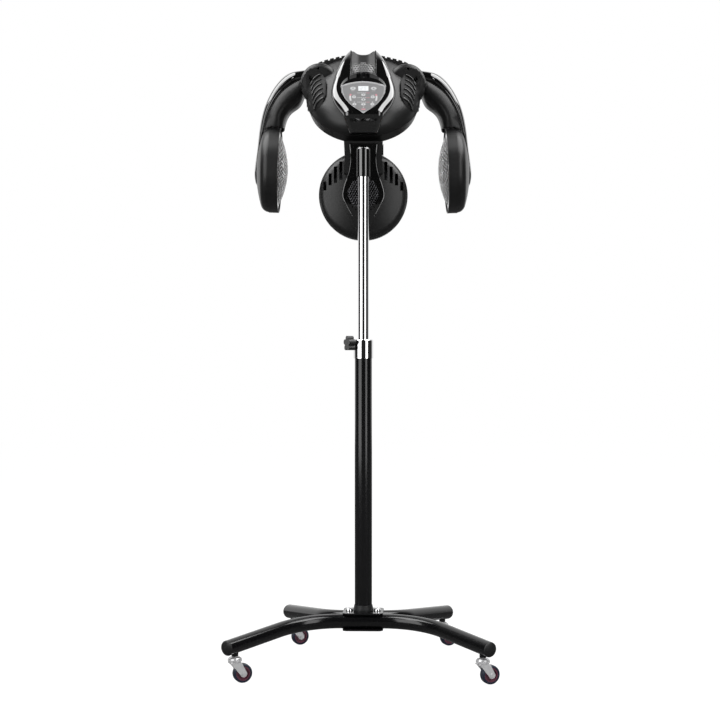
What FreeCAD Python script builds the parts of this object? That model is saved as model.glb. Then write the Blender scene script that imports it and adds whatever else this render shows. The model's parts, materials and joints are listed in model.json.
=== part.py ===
import FreeCAD, Part
import math
import os

# Hair colour processor: a ring of four infrared lamps on a telescopic mast with a wheeled base.
# Millimetres. The origin is on the floor under the mast's axis, +Z is up, +X is the
# operator's right, and the operator stands on the -Y side, looking along +Y.

V = FreeCAD.Vector
UP = V(0, 0, 1)

# ---------------------------------------------------------------- driving dimensions

RUNNING_FIT = 0.06            # radial gap of a shaft that turns or slides in a bore
CLEARANCE = 0.3               # gap between faces of two bodies that only pass each other
CRUMB = 20.0                  # volume under which a loose solid is only a cutting crumb

# base
BASE_TURN = -3.1              # the base is parked at this angle under the head (degrees)
LEG_TUBE_R = 18.0
LEG_TUBE_WALL = 2.0
LEG_AXIS_Z = 111.0            # tube axis at the hub
BOLT_R = 4.0
TUBE_BOLT_GAP = 2.0           # between a bolt's shank and each tube
FRONT_CORNER_X = 143.0
FRONT_BEND_R = 190.0
FRONT_STEM = (291.0, 217.0)   # caster stems, right and towards the operator
REAR_CORNER_X = 76.0
REAR_BEND_R = 120.0
REAR_STEM = (198.0, 227.0)
LEG_OVERHANG = 25.0           # tube past the caster stem
END_CAP_DOME = 8.0
END_CAP_PLUG = 14.0
HUB_PLATE_X = 100.0
HUB_PLATE_Y = 84.0
HUB_PLATE_T = 4.0
HUB_CORNER_R = 12.0
BOLT_X = 35.0
BOLT_HEAD_R = 9.5
BOLT_HEAD_H = 8.0
NUT_H = 6.5
NUT_ACROSS = 13.0

# casters
WHEEL_R = 22.5
TYRE_WIDTH = 19.0
TYRE_T = 5.5
TYRE_ROUND = 4.0
CASTER_TRAIL = 18.0
CASTER_TURN = 20.0            # how far the parked casters point away from +X
CASTER_H = 64.0
CAP_R = 16.5
CAP_DOME = 9.0
CAP_SKIRT = 3.0
RACE_R = 14.0
RACE_H = 3.0
FORK_PLATE_T = 2.5
FORK_EYE_R = 8.0
FORK_SIDE_GAP = 1.2           # between the tyre and a fork cheek
STEM_R = 5.5
STEM_LENGTH = 30.0
SOCKET_WALL = 2.5
AXLE_R = 3.0
AXLE_HEAD_R = 4.5
AXLE_HEAD_T = 2.0

# mast
MAST_R = 21.5
MAST_WALL = 2.0
MAST_TOP_Z = 790.0
FOOT_R = 25.0
FOOT_H = 15.0
COLLAR_R = 25.0
COLLAR_Z = (763.0, 811.0)
COLLAR_ROUND = 5.0
BUSH_LENGTH = 60.0
ROD_R = 14.0
ROD_WALL = 2.0
ROD_BOTTOM_Z = 540.0
SOCKET_BOTTOM_Z = 1216.0
SOCKET_DEPTH = 66.0           # how far the rod goes into the head's socket
SOCKET_WALL_R = 3.5
SOCKET_CAP_H = 14.0
KNOB_Z = 800.0
KNOB_TURN = 205.0             # direction of the knob's stem, from +X towards +Y
KNOB_STUD_R = 4.0
KNOB_R = 19.0
KNOB_LOBES = 5
KNOB_LOBE_R = 6.5
KNOB_T = 17.0
KNOB_GAP = 4.0

# crown lamp: a tilted dome between two gilled shoulders that carry the side arms
CROWN_CENTRE = V(0, 129, 1435.3)
CROWN_TILT = 50.0
CROWN_R = 147.5
CROWN_RIM_R = 139.0           # the band narrows a little to its rim
CROWN_DOME = 76.0
CROWN_BAND = 30.0
SHELL_WALL = 3.0
CROWN_LAMP_R = 111.0          # opening of the crown's own lamp
CROWN_LAMP_FLOOR = -18.0
CROWN_HEATER_LIFT = 8.0
CROWN_COLLAR_H = 14.0
SHOULDER_X = 112.0
SHOULDER_Z = 1475.0
SHOULDER_R = 49.0
SHOULDER_FRONT_Y = 98.0
SHOULDER_ROUND = 16.0
YOKE_LINE = [(20.0, 1551.0), (52.0, 1549.0), (83.0, 1542.0), (112.0, 1533.0), (134.0, 1519.0), (150.0, 1500.0)]
YOKE_DEPTH = 44.0             # of the ribbed bar over the shoulders, forward from the arms
GILL_COUNT = 6
GILL_PITCH = 13.0
GILL_BEND_R = 34.0            # centre line of a gill
GILL_SPAN = (105.0, 175.0)    # arc of a gill, degrees from +X towards +Z on the left shoulder
GILL_WIDTH = 5.0
GILL_TOP = (-104.0, 1476.0)   # middle of the topmost gill's arc
GILL_LEAN = 1.5               # each next gill sits this much nearer the middle
RIB_COUNT = 5
RIB_PITCH = 15.0
RIB_H = 4.5
RIB_FIRST_X = 52.0
RIB_INSET = 4.0               # ribs stop this far from the yoke's front and back

# round lamps of the three arms
LAMP_R = 113.0
LAMP_BAND = 26.0
LAMP_DOME = 36.0
LAMP_DOME_STEP = 1.5          # the band stands this much proud of the dome
SIDE_RIM_X = 222.0
SIDE_LAMP_Y = 245.0
SIDE_LAMP_Z = 1265.0
SIDE_LAMP_TILT = 2.0
REAR_RIM_Y = 92.0
REAR_LAMP_Z = 1177.5
GUARD_SEAT = 4.0              # how deep the guard's flange sits inside the rim
GUARD_T = 1.2
GUARD_RISE = 20.0             # how far a guard bulges past the rim
GUARD_MARGIN = 15.0           # between the rim and the guard's dome
GUARD_ROWS = 3
GUARD_FIRST_ROW = 5           # holes in the innermost row; each next row gains as many
GUARD_HOLE_R = 9.0
REFLECTOR_T = 1.0
REFLECTOR_MARGIN = 28.0
HEATER_TUBE_R = 5.0
HEATER_LIFT = 12.0            # tube centre above the reflector's floor
POST_R = 2.0
VENT_SLOT_W = 8.0
VENT_PITCH = 13.5
VENT_FIRST_X = 57.0

# side arms
ARM_PIVOT = V(120, 245, 1495)
KNUCKLE_R = 38.0
KNUCKLE_W = 92.0
PIN_R = 8.0
PIN_HEAD_R = 13.0
PIN_HEAD_T = 4.0
PIN_PAD_R = 22.0              # wall that carries a pin
ARM_WALL = 3.0
ARM_SWINGS = (-3.0, 0.0, 5.0, 10.0, 15.0)   # inward to outward, degrees
POCKET_GAP = 2.0

# console on the front of the crown
PANEL_CENTRE = V(0, -2, 1415)
PANEL_TILT = 40.0
PANEL_T = 3.0
PANEL_SHOULDER = (52.0, 42.0)
PANEL_SIDE = (44.0, -4.0)
PANEL_HALF_H = 57.0
BEZEL_W = 4.0
BEZEL_PROUD = 1.5
LEDGE_W = 2.5
BOARD_DEPTH = 10.0
BOARD_T = 1.6
POCKET_DEPTH = 22.0
DISPLAY_W = 25.6
DISPLAY_H = 18.2
DISPLAY_T_UP = 35.0           # display's middle above the panel's centre
KEY_FIT = 0.2
KEY_PROUD = 1.0
KEY_FLANGE = 0.8
KEY_TRAVEL = 0.8
SWITCH_R = 2.5
SWITCH_H = 2.0
KEYS = {                      # name: middle across, middle up, width, height
    "key_top_left": (-26.0, 34.5, 14.0, 11.0),
    "key_top_right": (26.0, 34.5, 14.0, 11.0),
    "key_centre_upper": (0.0, 9.5, 11.0, 8.0),
    "key_centre_middle": (0.0, -9.0, 11.0, 8.0),
    "key_centre_lower": (0.0, -27.5, 11.0, 8.0),
    "key_left_upper": (-23.4, 1.0, 10.0, 9.0),
    "key_right_upper": (23.4, 1.0, 10.0, 9.0),
    "key_left_lower": (-22.4, -27.0, 10.0, 9.0),
    "key_right_lower": (22.4, -27.0, 10.0, 9.0),
}

# mains inlet
INLET_W = 27.0
INLET_H = 20.0
INLET_DEPTH = 16.0
INLET_FLANGE = 3.0
INLET_FLANGE_T = 1.5
INLET_WALL = 2.0
INLET_PLACE = (39.5, 1289.0)  # along Y and up, on the right side of the neck


# ---------------------------------------------------------------- helpers

def export(name, shape):
    """Write one sub-part; cutting leaves crumbs where curved walls graze, which are left out."""
    solids = []
    for solid in shape.Solids:
        if solid.Volume < 0:
            solid.reverse()
        if solid.Volume > CRUMB:
            solids.append(solid)
    whole = solids[0] if len(solids) == 1 else Part.makeCompound(solids)
    whole.exportStep(os.path.join("parts", name + ".step"))
    volume = sum(solid.Volume for solid in solids)
    print(f"{name}: {len(solids)} solid(s), {volume:.0f} mm3, valid {whole.isValid()}")


def group(shapes):
    return Part.makeCompound([solid for shape in shapes for solid in shape.Solids])


def cylinder(radius, z0, z1, x=0.0, y=0.0):
    return Part.makeCylinder(radius, z1 - z0, V(x, y, z0))


def ring(r_out, r_in, z0, z1, x=0.0, y=0.0):
    return cylinder(r_out, z0, z1, x, y).cut(cylinder(r_in, z0, z1, x, y))


def turned(points):
    """Solid of revolution about Z from the corners (radius, z) of its half section."""
    corners = [V(r, 0, z) for r, z in points]
    face = Part.Face(Part.makePolygon(corners + corners[:1]))
    solid = face.revolve(V(0, 0, 0), UP, 360)
    if solid.Volume < 0:
        solid.reverse()
    return solid


def dome_solid(radius, height, inset=0.0):
    """Oval dome that stands on z = 0: a shoulder arc, then a flatter arc over the top."""
    diagonal = math.hypot(radius, height)
    rest = diagonal - (radius - height)
    middle_r = radius - rest / 2 * radius / diagonal
    middle_z = rest / 2 * height / diagonal
    shoulder_r = rest * diagonal / (2 * radius)
    shoulder_centre = V(radius - shoulder_r, 0, 0)
    top_centre = V(0, 0, middle_z - middle_r * radius / height)
    top_r = height - top_centre.z
    toward = (shoulder_centre - top_centre).normalize()
    rim = V(radius - inset, 0, 0)
    joint = top_centre + toward * (top_r - inset)
    apex = V(0, 0, height - inset)
    half_turn = toward.getAngle(V(1, 0, 0)) / 2
    reach = shoulder_r - inset
    on_shoulder = shoulder_centre + V(math.cos(half_turn), 0, math.sin(half_turn)) * reach
    half_top = toward.getAngle(UP) / 2
    on_top = top_centre + V(math.sin(half_top), 0, math.cos(half_top)) * (top_r - inset)
    edges = [Part.Arc(rim, on_shoulder, joint).toShape(), Part.Arc(joint, on_top, apex).toShape(),
             Part.makeLine(apex, V(0, 0, 0)), Part.makeLine(V(0, 0, 0), rim)]
    solid = Part.Face(Part.Wire(edges)).revolve(V(0, 0, 0), UP, 360)
    if solid.Volume < 0:
        solid.reverse()
    return solid


def spline_edge(points):
    curve = Part.BSplineCurve()
    curve.interpolate(points)
    return curve.toShape()


def polyline_edges(points):
    return [Part.makeLine(a, b) for a, b in zip(points, points[1:])]


def bent_path(points, radius):
    """Wire of straight runs through the points, with its corners rounded."""
    edges = []
    start = points[0]
    for before, corner, after in zip(points, points[1:], points[2:]):
        arrive = (corner - before).normalize()
        leave = (after - corner).normalize()
        half_turn = arrive.getAngle(leave) / 2
        reach = radius * math.tan(half_turn)
        inside = (leave - arrive).normalize()
        a = corner - arrive * reach
        b = corner + leave * reach
        middle = corner + inside * (radius / math.cos(half_turn) - radius)
        edges.append(Part.makeLine(start, a))
        edges.append(Part.Arc(a, middle, b).toShape())
        start = b
    edges.append(Part.makeLine(start, points[-1]))
    return Part.Wire(edges)


def swept_rod(path, radius):
    start = path.Edges[0]
    along = start.tangentAt(start.FirstParameter)
    circle = Part.Circle(start.valueAt(start.FirstParameter), along, radius).toShape()
    return path.makePipeShell([Part.Wire([circle])], True, False)


def placed(shape, origin, z_axis, x_axis):
    """Copy of a shape built in a local frame, put at its place in the row frame."""
    z = V(z_axis).normalize()
    x = V(x_axis).normalize()
    y = z.cross(x)
    matrix = FreeCAD.Matrix(x.x, y.x, z.x, origin.x, x.y, y.y, z.y, origin.y,
                            x.z, y.z, z.z, origin.z, 0, 0, 0, 1)
    copy = shape.copy()
    copy.transformShape(matrix, True)
    return copy


def base_turned(shape):
    copy = shape.copy()
    copy.rotate(V(0, 0, 0), UP, BASE_TURN)
    return copy


def mirrored(shape):
    return shape.mirror(V(0, 0, 0), V(1, 0, 0))


def oval(width, height, z0, z1, x, y):
    """Elliptical button blank between two heights."""
    edge = Part.Ellipse(V(x, y, z0), width / 2, height / 2).toShape()
    return Part.Face(Part.Wire([edge])).extrude(V(0, 0, z1 - z0))


# ---------------------------------------------------------------- base

LEG_SPREAD = LEG_TUBE_R + BOLT_R + TUBE_BOLT_GAP      # tube axis from the hub's middle
LEG_STEM_Z = 88.0                                     # tube axis over a caster stem


def leg_path(corner_x, bend_r, stem, side):
    """Centre line of one bent tube, and its slope; side is -1 at the front, 1 at the rear."""
    stem_x, stem_y = stem
    run = math.hypot(stem_x - corner_x, stem_y - LEG_SPREAD)
    stretch = (run + LEG_OVERHANG) / run
    end_x = corner_x + (stem_x - corner_x) * stretch
    end_y = LEG_SPREAD + (stem_y - LEG_SPREAD) * stretch
    drop = LEG_AXIS_Z - LEG_STEM_Z
    end_z = LEG_AXIS_Z - drop * stretch
    points = [V(-end_x, side * end_y, end_z), V(-corner_x, side * LEG_SPREAD, LEG_AXIS_Z),
              V(corner_x, side * LEG_SPREAD, LEG_AXIS_Z), V(end_x, side * end_y, end_z)]
    return bent_path(points, bend_r)


def stem_places():
    """Caster stems in the base's own frame: front left, front right, rear left, rear right."""
    front_x, front_y = FRONT_STEM
    rear_x, rear_y = REAR_STEM
    return {"front_left": (-front_x, -front_y), "front_right": (front_x, -front_y),
            "rear_left": (-rear_x, rear_y), "rear_right": (rear_x, rear_y)}


SOCKET_R = STEM_R + RUNNING_FIT + SOCKET_WALL
SOCKET_LOW_Z = CASTER_H + CLEARANCE
SOCKET_HIGH_Z = CASTER_H + STEM_LENGTH + 4


FRONT_LEG = (FRONT_CORNER_X, FRONT_BEND_R, FRONT_STEM, -1)
REAR_LEG = (REAR_CORNER_X, REAR_BEND_R, REAR_STEM, 1)


def leg_tube(corner_x, bend_r, stem, side):
    path = leg_path(corner_x, bend_r, stem, side)
    tube = swept_rod(path, LEG_TUBE_R).cut(swept_rod(path, LEG_TUBE_R - LEG_TUBE_WALL))
    for sign in (-1, 1):
        tube = tube.cut(cylinder(SOCKET_R, SOCKET_LOW_Z, SOCKET_HIGH_Z, sign * stem[0], side * stem[1]))
    return tube


def end_caps(paths):
    """Plastic plugs: a dome as wide as the tube on a plug that fits its bore."""
    caps = []
    for path in paths:
        for edge, at_end in ((path.Edges[0], False), (path.Edges[-1], True)):
            where = edge.LastParameter if at_end else edge.FirstParameter
            outward = edge.tangentAt(where) * (1 if at_end else -1)
            dome = dome_solid(LEG_TUBE_R, END_CAP_DOME)
            plug = cylinder(LEG_TUBE_R - LEG_TUBE_WALL, -END_CAP_PLUG, 0)
            caps.append(placed(dome.fuse(plug), edge.valueAt(where), outward, outward.cross(UP)))
    return group(caps)


def leg_paths():
    return [leg_path(*FRONT_LEG), leg_path(*REAR_LEG)]


def hub_plate(z0):
    """Clamping plate, pressed to the shape of the tubes that it holds."""
    plate = Part.makeBox(HUB_PLATE_X, HUB_PLATE_Y, HUB_PLATE_T, V(-HUB_PLATE_X / 2, -HUB_PLATE_Y / 2, z0))
    upright = [edge for edge in plate.Edges if abs(edge.tangentAt(edge.FirstParameter).z) > 0.9]
    plate = plate.makeFillet(HUB_CORNER_R, upright)
    for sign in (-1, 1):
        plate = plate.cut(cylinder(BOLT_R, z0, z0 + HUB_PLATE_T, sign * BOLT_X))
    return plate.cut([swept_rod(path, LEG_TUBE_R) for path in leg_paths()])


HUB_TOP_Z = LEG_AXIS_Z + LEG_TUBE_R + HUB_PLATE_T
HUB_BOTTOM_Z = LEG_AXIS_Z - LEG_TUBE_R - HUB_PLATE_T


def hub_bolt(x):
    head = dome_solid(BOLT_HEAD_R, BOLT_HEAD_H)
    head.translate(V(x, 0, HUB_TOP_Z))
    shank = cylinder(BOLT_R, HUB_BOTTOM_Z - NUT_H, HUB_TOP_Z, x)
    corners = [V(x + NUT_ACROSS / math.sqrt(3) * math.cos(math.radians(a)),
                 NUT_ACROSS / math.sqrt(3) * math.sin(math.radians(a)), HUB_BOTTOM_Z - NUT_H)
               for a in range(0, 361, 60)]
    nut = Part.Face(Part.makePolygon(corners)).extrude(V(0, 0, NUT_H))
    return head.fuse([shank, nut])


# ---------------------------------------------------------------- casters

CAP_BASE_Z = CASTER_H - CAP_DOME - CAP_SKIRT
CHEEK_IN = TYRE_WIDTH / 2 + FORK_SIDE_GAP
CHEEK_OUT = CHEEK_IN + FORK_PLATE_T
BRIDGE_TOP_Z = CAP_BASE_Z - RACE_H


def caster_fork():
    """Stem, bearing cap, race and forged fork, with its axle as a second solid."""
    stem = cylinder(STEM_R, CASTER_H - CAP_DOME, CASTER_H + STEM_LENGTH)
    dome = dome_solid(CAP_R, CAP_DOME)
    dome.translate(V(0, 0, CASTER_H - CAP_DOME))
    skirt = cylinder(CAP_R, CAP_BASE_Z, CASTER_H - CAP_DOME)
    race = cylinder(RACE_R, BRIDGE_TOP_Z, CAP_BASE_Z)
    half_bridge = CHEEK_OUT
    bridge = Part.makeBox(2 * half_bridge, 2 * CHEEK_OUT, FORK_PLATE_T,
                          V(-half_bridge, -CHEEK_OUT, BRIDGE_TOP_Z - FORK_PLATE_T))
    cheek_points = [V(-half_bridge, 0, BRIDGE_TOP_Z), V(half_bridge, 0, BRIDGE_TOP_Z),
                    V(CASTER_TRAIL + FORK_EYE_R, 0, WHEEL_R + 2),
                    V(CASTER_TRAIL - 0.9 * FORK_EYE_R, 0, WHEEL_R - 0.4 * FORK_EYE_R)]
    plate = Part.Face(Part.makePolygon(cheek_points + cheek_points[:1])).extrude(V(0, FORK_PLATE_T, 0))
    axle_dir = V(0, 1, 0)
    eye = Part.makeCylinder(FORK_EYE_R, FORK_PLATE_T, V(CASTER_TRAIL, 0, WHEEL_R), axle_dir)
    cheek = plate.fuse(eye)
    left = cheek.copy()
    left.translate(V(0, CHEEK_IN, 0))
    right = cheek.copy()
    right.translate(V(0, -CHEEK_OUT, 0))
    fork = stem.fuse([dome, skirt, race, bridge, left, right])
    shaft = Part.makeCylinder(AXLE_R, 2 * CHEEK_OUT, V(CASTER_TRAIL, -CHEEK_OUT, WHEEL_R), axle_dir)
    fork = fork.cut(shaft).removeSplitter()
    heads = [Part.makeCylinder(AXLE_HEAD_R, AXLE_HEAD_T, V(CASTER_TRAIL, y, WHEEL_R), axle_dir)
             for y in (CHEEK_OUT, -CHEEK_OUT - AXLE_HEAD_T)]
    return group([fork, shaft.fuse(heads)])


def caster_tyre():
    tyre = ring(WHEEL_R, WHEEL_R - TYRE_T, -TYRE_WIDTH / 2, TYRE_WIDTH / 2)
    rims = [edge for edge in tyre.Edges if edge.Closed and edge.Curve.TypeId == "Part::GeomCircle"
            and abs(edge.Curve.Radius - WHEEL_R) < 0.01]
    tyre = tyre.makeFillet(TYRE_ROUND, rims)
    return placed(tyre, V(CASTER_TRAIL, 0, WHEEL_R), V(0, 1, 0), V(1, 0, 0))


def caster_hub():
    rim_r = WHEEL_R - TYRE_T
    web = 5.0
    boss_r = AXLE_R + RUNNING_FIT + 4
    half = TYRE_WIDTH / 2
    bore = AXLE_R + RUNNING_FIT
    hub = turned([(bore, -half), (boss_r, -half), (boss_r, -web), (rim_r - 3, -web), (rim_r - 3, -half + 1),
                  (rim_r, -half + 1), (rim_r, half - 1), (rim_r - 3, half - 1), (rim_r - 3, web),
                  (boss_r, web), (boss_r, half), (bore, half)])
    return placed(hub, V(CASTER_TRAIL, 0, WHEEL_R), V(0, 1, 0), V(1, 0, 0))


# ---------------------------------------------------------------- mast

def clamp_collar():
    low, high = COLLAR_Z
    collar = cylinder(COLLAR_R, low, high)
    top_edge = [edge for edge in collar.Edges if edge.BoundBox.ZMin > high - 0.01]
    collar = collar.makeFillet(COLLAR_ROUND, top_edge)
    collar = collar.cut(cylinder(MAST_R, low, MAST_TOP_Z))
    collar = collar.cut(cylinder(ROD_R + RUNNING_FIT, MAST_TOP_Z, high))
    stud_hole = Part.makeCylinder(KNOB_STUD_R + RUNNING_FIT, COLLAR_R, V(0, 0, KNOB_Z), knob_axis())
    return collar.cut(stud_hole)


def knob_axis():
    angle = math.radians(KNOB_TURN)
    return V(math.cos(angle), math.sin(angle), 0)


def clamp_knob():
    """Star knob with its stud; local Z runs out from the mast."""
    face_z = COLLAR_R + KNOB_GAP
    core = cylinder(KNOB_R - KNOB_LOBE_R, face_z, face_z + KNOB_T)
    neck = cylinder(KNOB_STUD_R + 3, COLLAR_R + CLEARANCE, face_z)
    lobes = []
    for i in range(KNOB_LOBES):
        angle = 2 * math.pi * i / KNOB_LOBES
        reach = KNOB_R - KNOB_LOBE_R
        lobes.append(cylinder(KNOB_LOBE_R, face_z, face_z + KNOB_T, reach * math.cos(angle),
                              reach * math.sin(angle)))
    knob = core.fuse([neck] + lobes).removeSplitter()
    stud = cylinder(KNOB_STUD_R, ROD_R + CLEARANCE, face_z)
    return placed(knob.fuse(stud), V(0, 0, KNOB_Z), knob_axis(), UP)


def socket_outline():
    """Outside of the head's socket: a sleeve with a domed top."""
    sleeve_r = ROD_R + SOCKET_WALL_R
    cap_z = SOCKET_BOTTOM_Z + SOCKET_DEPTH
    sleeve = turned([(0, SOCKET_BOTTOM_Z), (sleeve_r - 1, SOCKET_BOTTOM_Z), (sleeve_r, SOCKET_BOTTOM_Z + 1),
                     (sleeve_r, cap_z), (0, cap_z)])
    cap = dome_solid(sleeve_r, SOCKET_CAP_H)
    cap.translate(V(0, 0, cap_z))
    return sleeve.fuse(cap)


# ---------------------------------------------------------------- round lamps (local Z looks out of the lamp)

def lamp_envelope(radius, rim_r, band, dome, inset=0.0):
    """Full outside of a lamp casing, its rim at z = 0; inset gives the inside."""
    if rim_r == radius:
        body = cylinder(radius - inset, -band, 0)
    else:
        body = Part.makeCone(radius - inset, rim_r - inset, band, V(0, 0, -band))
    cap = dome_solid(radius - LAMP_DOME_STEP, dome, inset)
    cap.rotate(V(0, 0, 0), V(1, 0, 0), 180)
    cap.translate(V(0, 0, -band))
    return body.fuse(cap)


def lamp_reflector(radius, floor_z):
    """Spun dish with a flat floor and a flange under the guard's flange."""
    inner = radius - SHELL_WALL
    floor_r = inner - REFLECTOR_MARGIN
    top = -GUARD_SEAT - GUARD_T
    inside = [(0, floor_z), (floor_r, floor_z), (inner - 8, top), (inner, top)]
    outside = [(r, z - REFLECTOR_T) for r, z in reversed(inside)]
    return turned(inside + outside)


def lamp_heater(radius, floor_z, lift=HEATER_LIFT):
    """Two quartz ring tubes on ceramic posts."""
    z = floor_z + lift
    rings = []
    for share in (0.33, 0.6):
        ring_r = radius * share
        parts = [Part.makeTorus(ring_r, HEATER_TUBE_R, V(0, 0, z))]
        for i in range(3):
            angle = 2 * math.pi * i / 3
            parts.append(cylinder(POST_R, floor_z, z, ring_r * math.cos(angle), ring_r * math.sin(angle)))
        rings.append(parts[0].fuse(parts[1:]))
    return group(rings)


def guard_dome(base_r, rise, thickness):
    """Shallow spherical sheet that stands on z = 0."""
    sphere_r = (base_r ** 2 + rise ** 2) / (2 * rise)
    centre = V(0, 0, rise - sphere_r)
    outer = Part.makeSphere(sphere_r, centre)
    inner = Part.makeSphere(sphere_r - thickness, centre)
    keep = cylinder(base_r + 1, 0, rise + 1)
    return outer.cut(inner).common(keep)


def lamp_guard(radius):
    """Perforated dome on a flat flange."""
    base_r = radius - GUARD_MARGIN
    seat_z = -GUARD_SEAT
    dome = guard_dome(base_r, GUARD_RISE + GUARD_SEAT, GUARD_T)
    dome.translate(V(0, 0, seat_z))
    flange = ring(radius - SHELL_WALL, base_r - 3, seat_z - GUARD_T, seat_z)
    guard = dome.fuse(flange).removeSplitter()
    holes = []
    for row in range(1, GUARD_ROWS + 1):
        row_r = base_r * row / (GUARD_ROWS + 0.7)
        count = GUARD_FIRST_ROW * row
        for i in range(count):
            angle = 2 * math.pi * (i + 0.5 * (row % 2)) / count
            holes.append(cylinder(GUARD_HOLE_R, seat_z, GUARD_RISE + 5, row_r * math.cos(angle),
                                  row_r * math.sin(angle)))
    return guard.cut(holes)


def lamp_floor_z(band, dome):
    """Height of the reflector's floor inside a casing."""
    return -band - 0.25 * dome


# ---------------------------------------------------------------- crown

CROWN_UP = V(0, -math.sin(math.radians(CROWN_TILT)), math.cos(math.radians(CROWN_TILT)))
CROWN_RIM = CROWN_CENTRE - CROWN_UP * CROWN_BAND
ACROSS = V(1, 0, 0)
CROWN_LIP = CROWN_RIM + ACROSS.cross(CROWN_UP) * CROWN_RIM_R  # lowest point of the rim
PIVOT_WALL_Y = ARM_PIVOT.y - KNUCKLE_W / 2 - CLEARANCE        # back of the shoulders


def crown_lamp(shape):
    """Put a lamp piece, built in the lamp frame, into the crown."""
    return placed(shape, CROWN_RIM, CROWN_UP * -1, ACROSS)


def along_y(radius, x, z, y0, y1):
    return Part.makeCylinder(radius, y1 - y0, V(x, y0, z), V(0, 1, 0))


def shoulder(inset=0.0):
    """Round boss in front of the right arm, rounded to the front; inset gives its inside."""
    front_y = SHOULDER_FRONT_Y + inset
    boss = along_y(SHOULDER_R - inset, SHOULDER_X, SHOULDER_Z, front_y, PIVOT_WALL_Y - 2 * inset)
    front_edge = [edge for edge in boss.Edges if edge.BoundBox.YMax < front_y + 0.01]
    boss = boss.makeFillet(SHOULDER_ROUND - inset, front_edge)
    return boss.cut(crown_lamp(cylinder(CROWN_LAMP_R + inset, -inset, SHOULDER_R)))


def yoke(inset=0.0, lift=0.0):
    """Bar over the right shoulder that carries the ribs."""
    line = [V(x - inset, 0, z + lift - inset) for x, z in YOKE_LINE]
    low_z = SHOULDER_Z + inset
    edges = [spline_edge(line)]
    edges += polyline_edges([line[-1], V(line[-1].x, 0, low_z), V(line[0].x, 0, low_z), line[0]])
    bar = Part.Face(Part.Wire(edges)).extrude(V(0, YOKE_DEPTH - 2 * inset, 0))
    bar.translate(V(0, PIVOT_WALL_Y - YOKE_DEPTH + inset, 0))
    return bar


def both_sides(shapes):
    return shapes + [mirrored(shape) for shape in shapes]


def crown_outside():
    dome = crown_lamp(lamp_envelope(CROWN_R, CROWN_RIM_R, CROWN_BAND, CROWN_DOME))
    return dome.fuse(both_sides([shoulder(), yoke()]))


def crown_inside():
    dome = crown_lamp(lamp_envelope(CROWN_R, CROWN_RIM_R, CROWN_BAND, CROWN_DOME, SHELL_WALL))
    return dome.fuse(both_sides([shoulder(SHELL_WALL), yoke(SHELL_WALL)]))


def crown_ribs():
    """Short ribs along the top of the yoke."""
    ribs = []
    y0 = PIVOT_WALL_Y - YOKE_DEPTH + RIB_INSET
    run = YOKE_DEPTH - 2 * RIB_INSET
    raised = yoke(0, RIB_H)
    for i in range(RIB_COUNT):
        x = RIB_FIRST_X + i * RIB_PITCH
        wedge = [V(x - 5, y0, SHOULDER_Z + SHOULDER_R), V(x + 5, y0, SHOULDER_Z + SHOULDER_R),
                 V(x + 1, y0, 2 * SHOULDER_Z), V(x - 1, y0, 2 * SHOULDER_Z)]
        rib = Part.Face(Part.makePolygon(wedge + wedge[:1])).extrude(V(0, run, 0))
        ribs.append(rib.common(raised))
    return both_sides(ribs)


def gill_cutters():
    """Curved slots through the front of both shoulders."""
    cutters = []
    first, last = [math.radians(angle) for angle in GILL_SPAN]
    for i in range(GILL_COUNT):
        x = GILL_TOP[0] + GILL_LEAN * i
        z = GILL_TOP[1] - GILL_PITCH * i
        depth = SHOULDER_ROUND + SHELL_WALL
        bent = along_y(GILL_BEND_R + GILL_WIDTH / 2, x, z, SHOULDER_FRONT_Y - 1, SHOULDER_FRONT_Y + depth)
        bent = bent.cut(along_y(GILL_BEND_R - GILL_WIDTH / 2, x, z, SHOULDER_FRONT_Y - 1,
                                SHOULDER_FRONT_Y + depth))
        fan = [V(x, 0, z)]
        for angle in (first, (first + last) / 2, last):
            fan.append(V(x + 2 * GILL_BEND_R * math.cos(angle), 0, z + 2 * GILL_BEND_R * math.sin(angle)))
        wedge = Part.Face(Part.makePolygon(fan + fan[:1])).extrude(V(0, 2 * SHOULDER_FRONT_Y, 0))
        cutters.append(bent.common(wedge))
    return both_sides(cutters)


def arm_pocket():
    """Room in the crown's right side for the arm over its whole swing."""
    drum = along_y(KNUCKLE_R + POCKET_GAP, ARM_PIVOT.x, ARM_PIVOT.z, PIVOT_WALL_Y, PIVOT_WALL_Y + 2 * KNUCKLE_W)
    swept = arm_loft(-POCKET_GAP).common(Part.makeBox(300, 300, 300, V(0, PIVOT_WALL_Y, 1300)))
    cutters = [drum]
    for angle in ARM_SWINGS:
        cutter = swept.copy()
        cutter.rotate(ARM_PIVOT, V(0, -1, 0), angle)
        cutters.append(cutter)
    return cutters


def crown_shell(outside):
    shell = outside.cut(crown_inside()).cut(gill_cutters())
    fascia = crown_lamp(ring(CROWN_RIM_R - SHELL_WALL / 2, CROWN_LAMP_R - SHELL_WALL, -SHELL_WALL, 0))
    fascia = fascia.cut(both_sides([shoulder(SHELL_WALL)]))
    collar = crown_lamp(ring(CROWN_LAMP_R, CROWN_LAMP_R - SHELL_WALL, -CROWN_COLLAR_H, 0))
    pad = along_y(PIN_PAD_R, ARM_PIVOT.x, ARM_PIVOT.z, PIVOT_WALL_Y - 2 * SHELL_WALL, PIVOT_WALL_Y)
    shell = shell.fuse([fascia, collar] + both_sides([pad]) + crown_ribs())
    shell = shell.cut(both_sides(arm_pocket() + [pivot_pin()]))
    return shell.cut(panel_placed(panel_prism(-LEDGE_W, -2 * POCKET_DEPTH, 0)))


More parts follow.
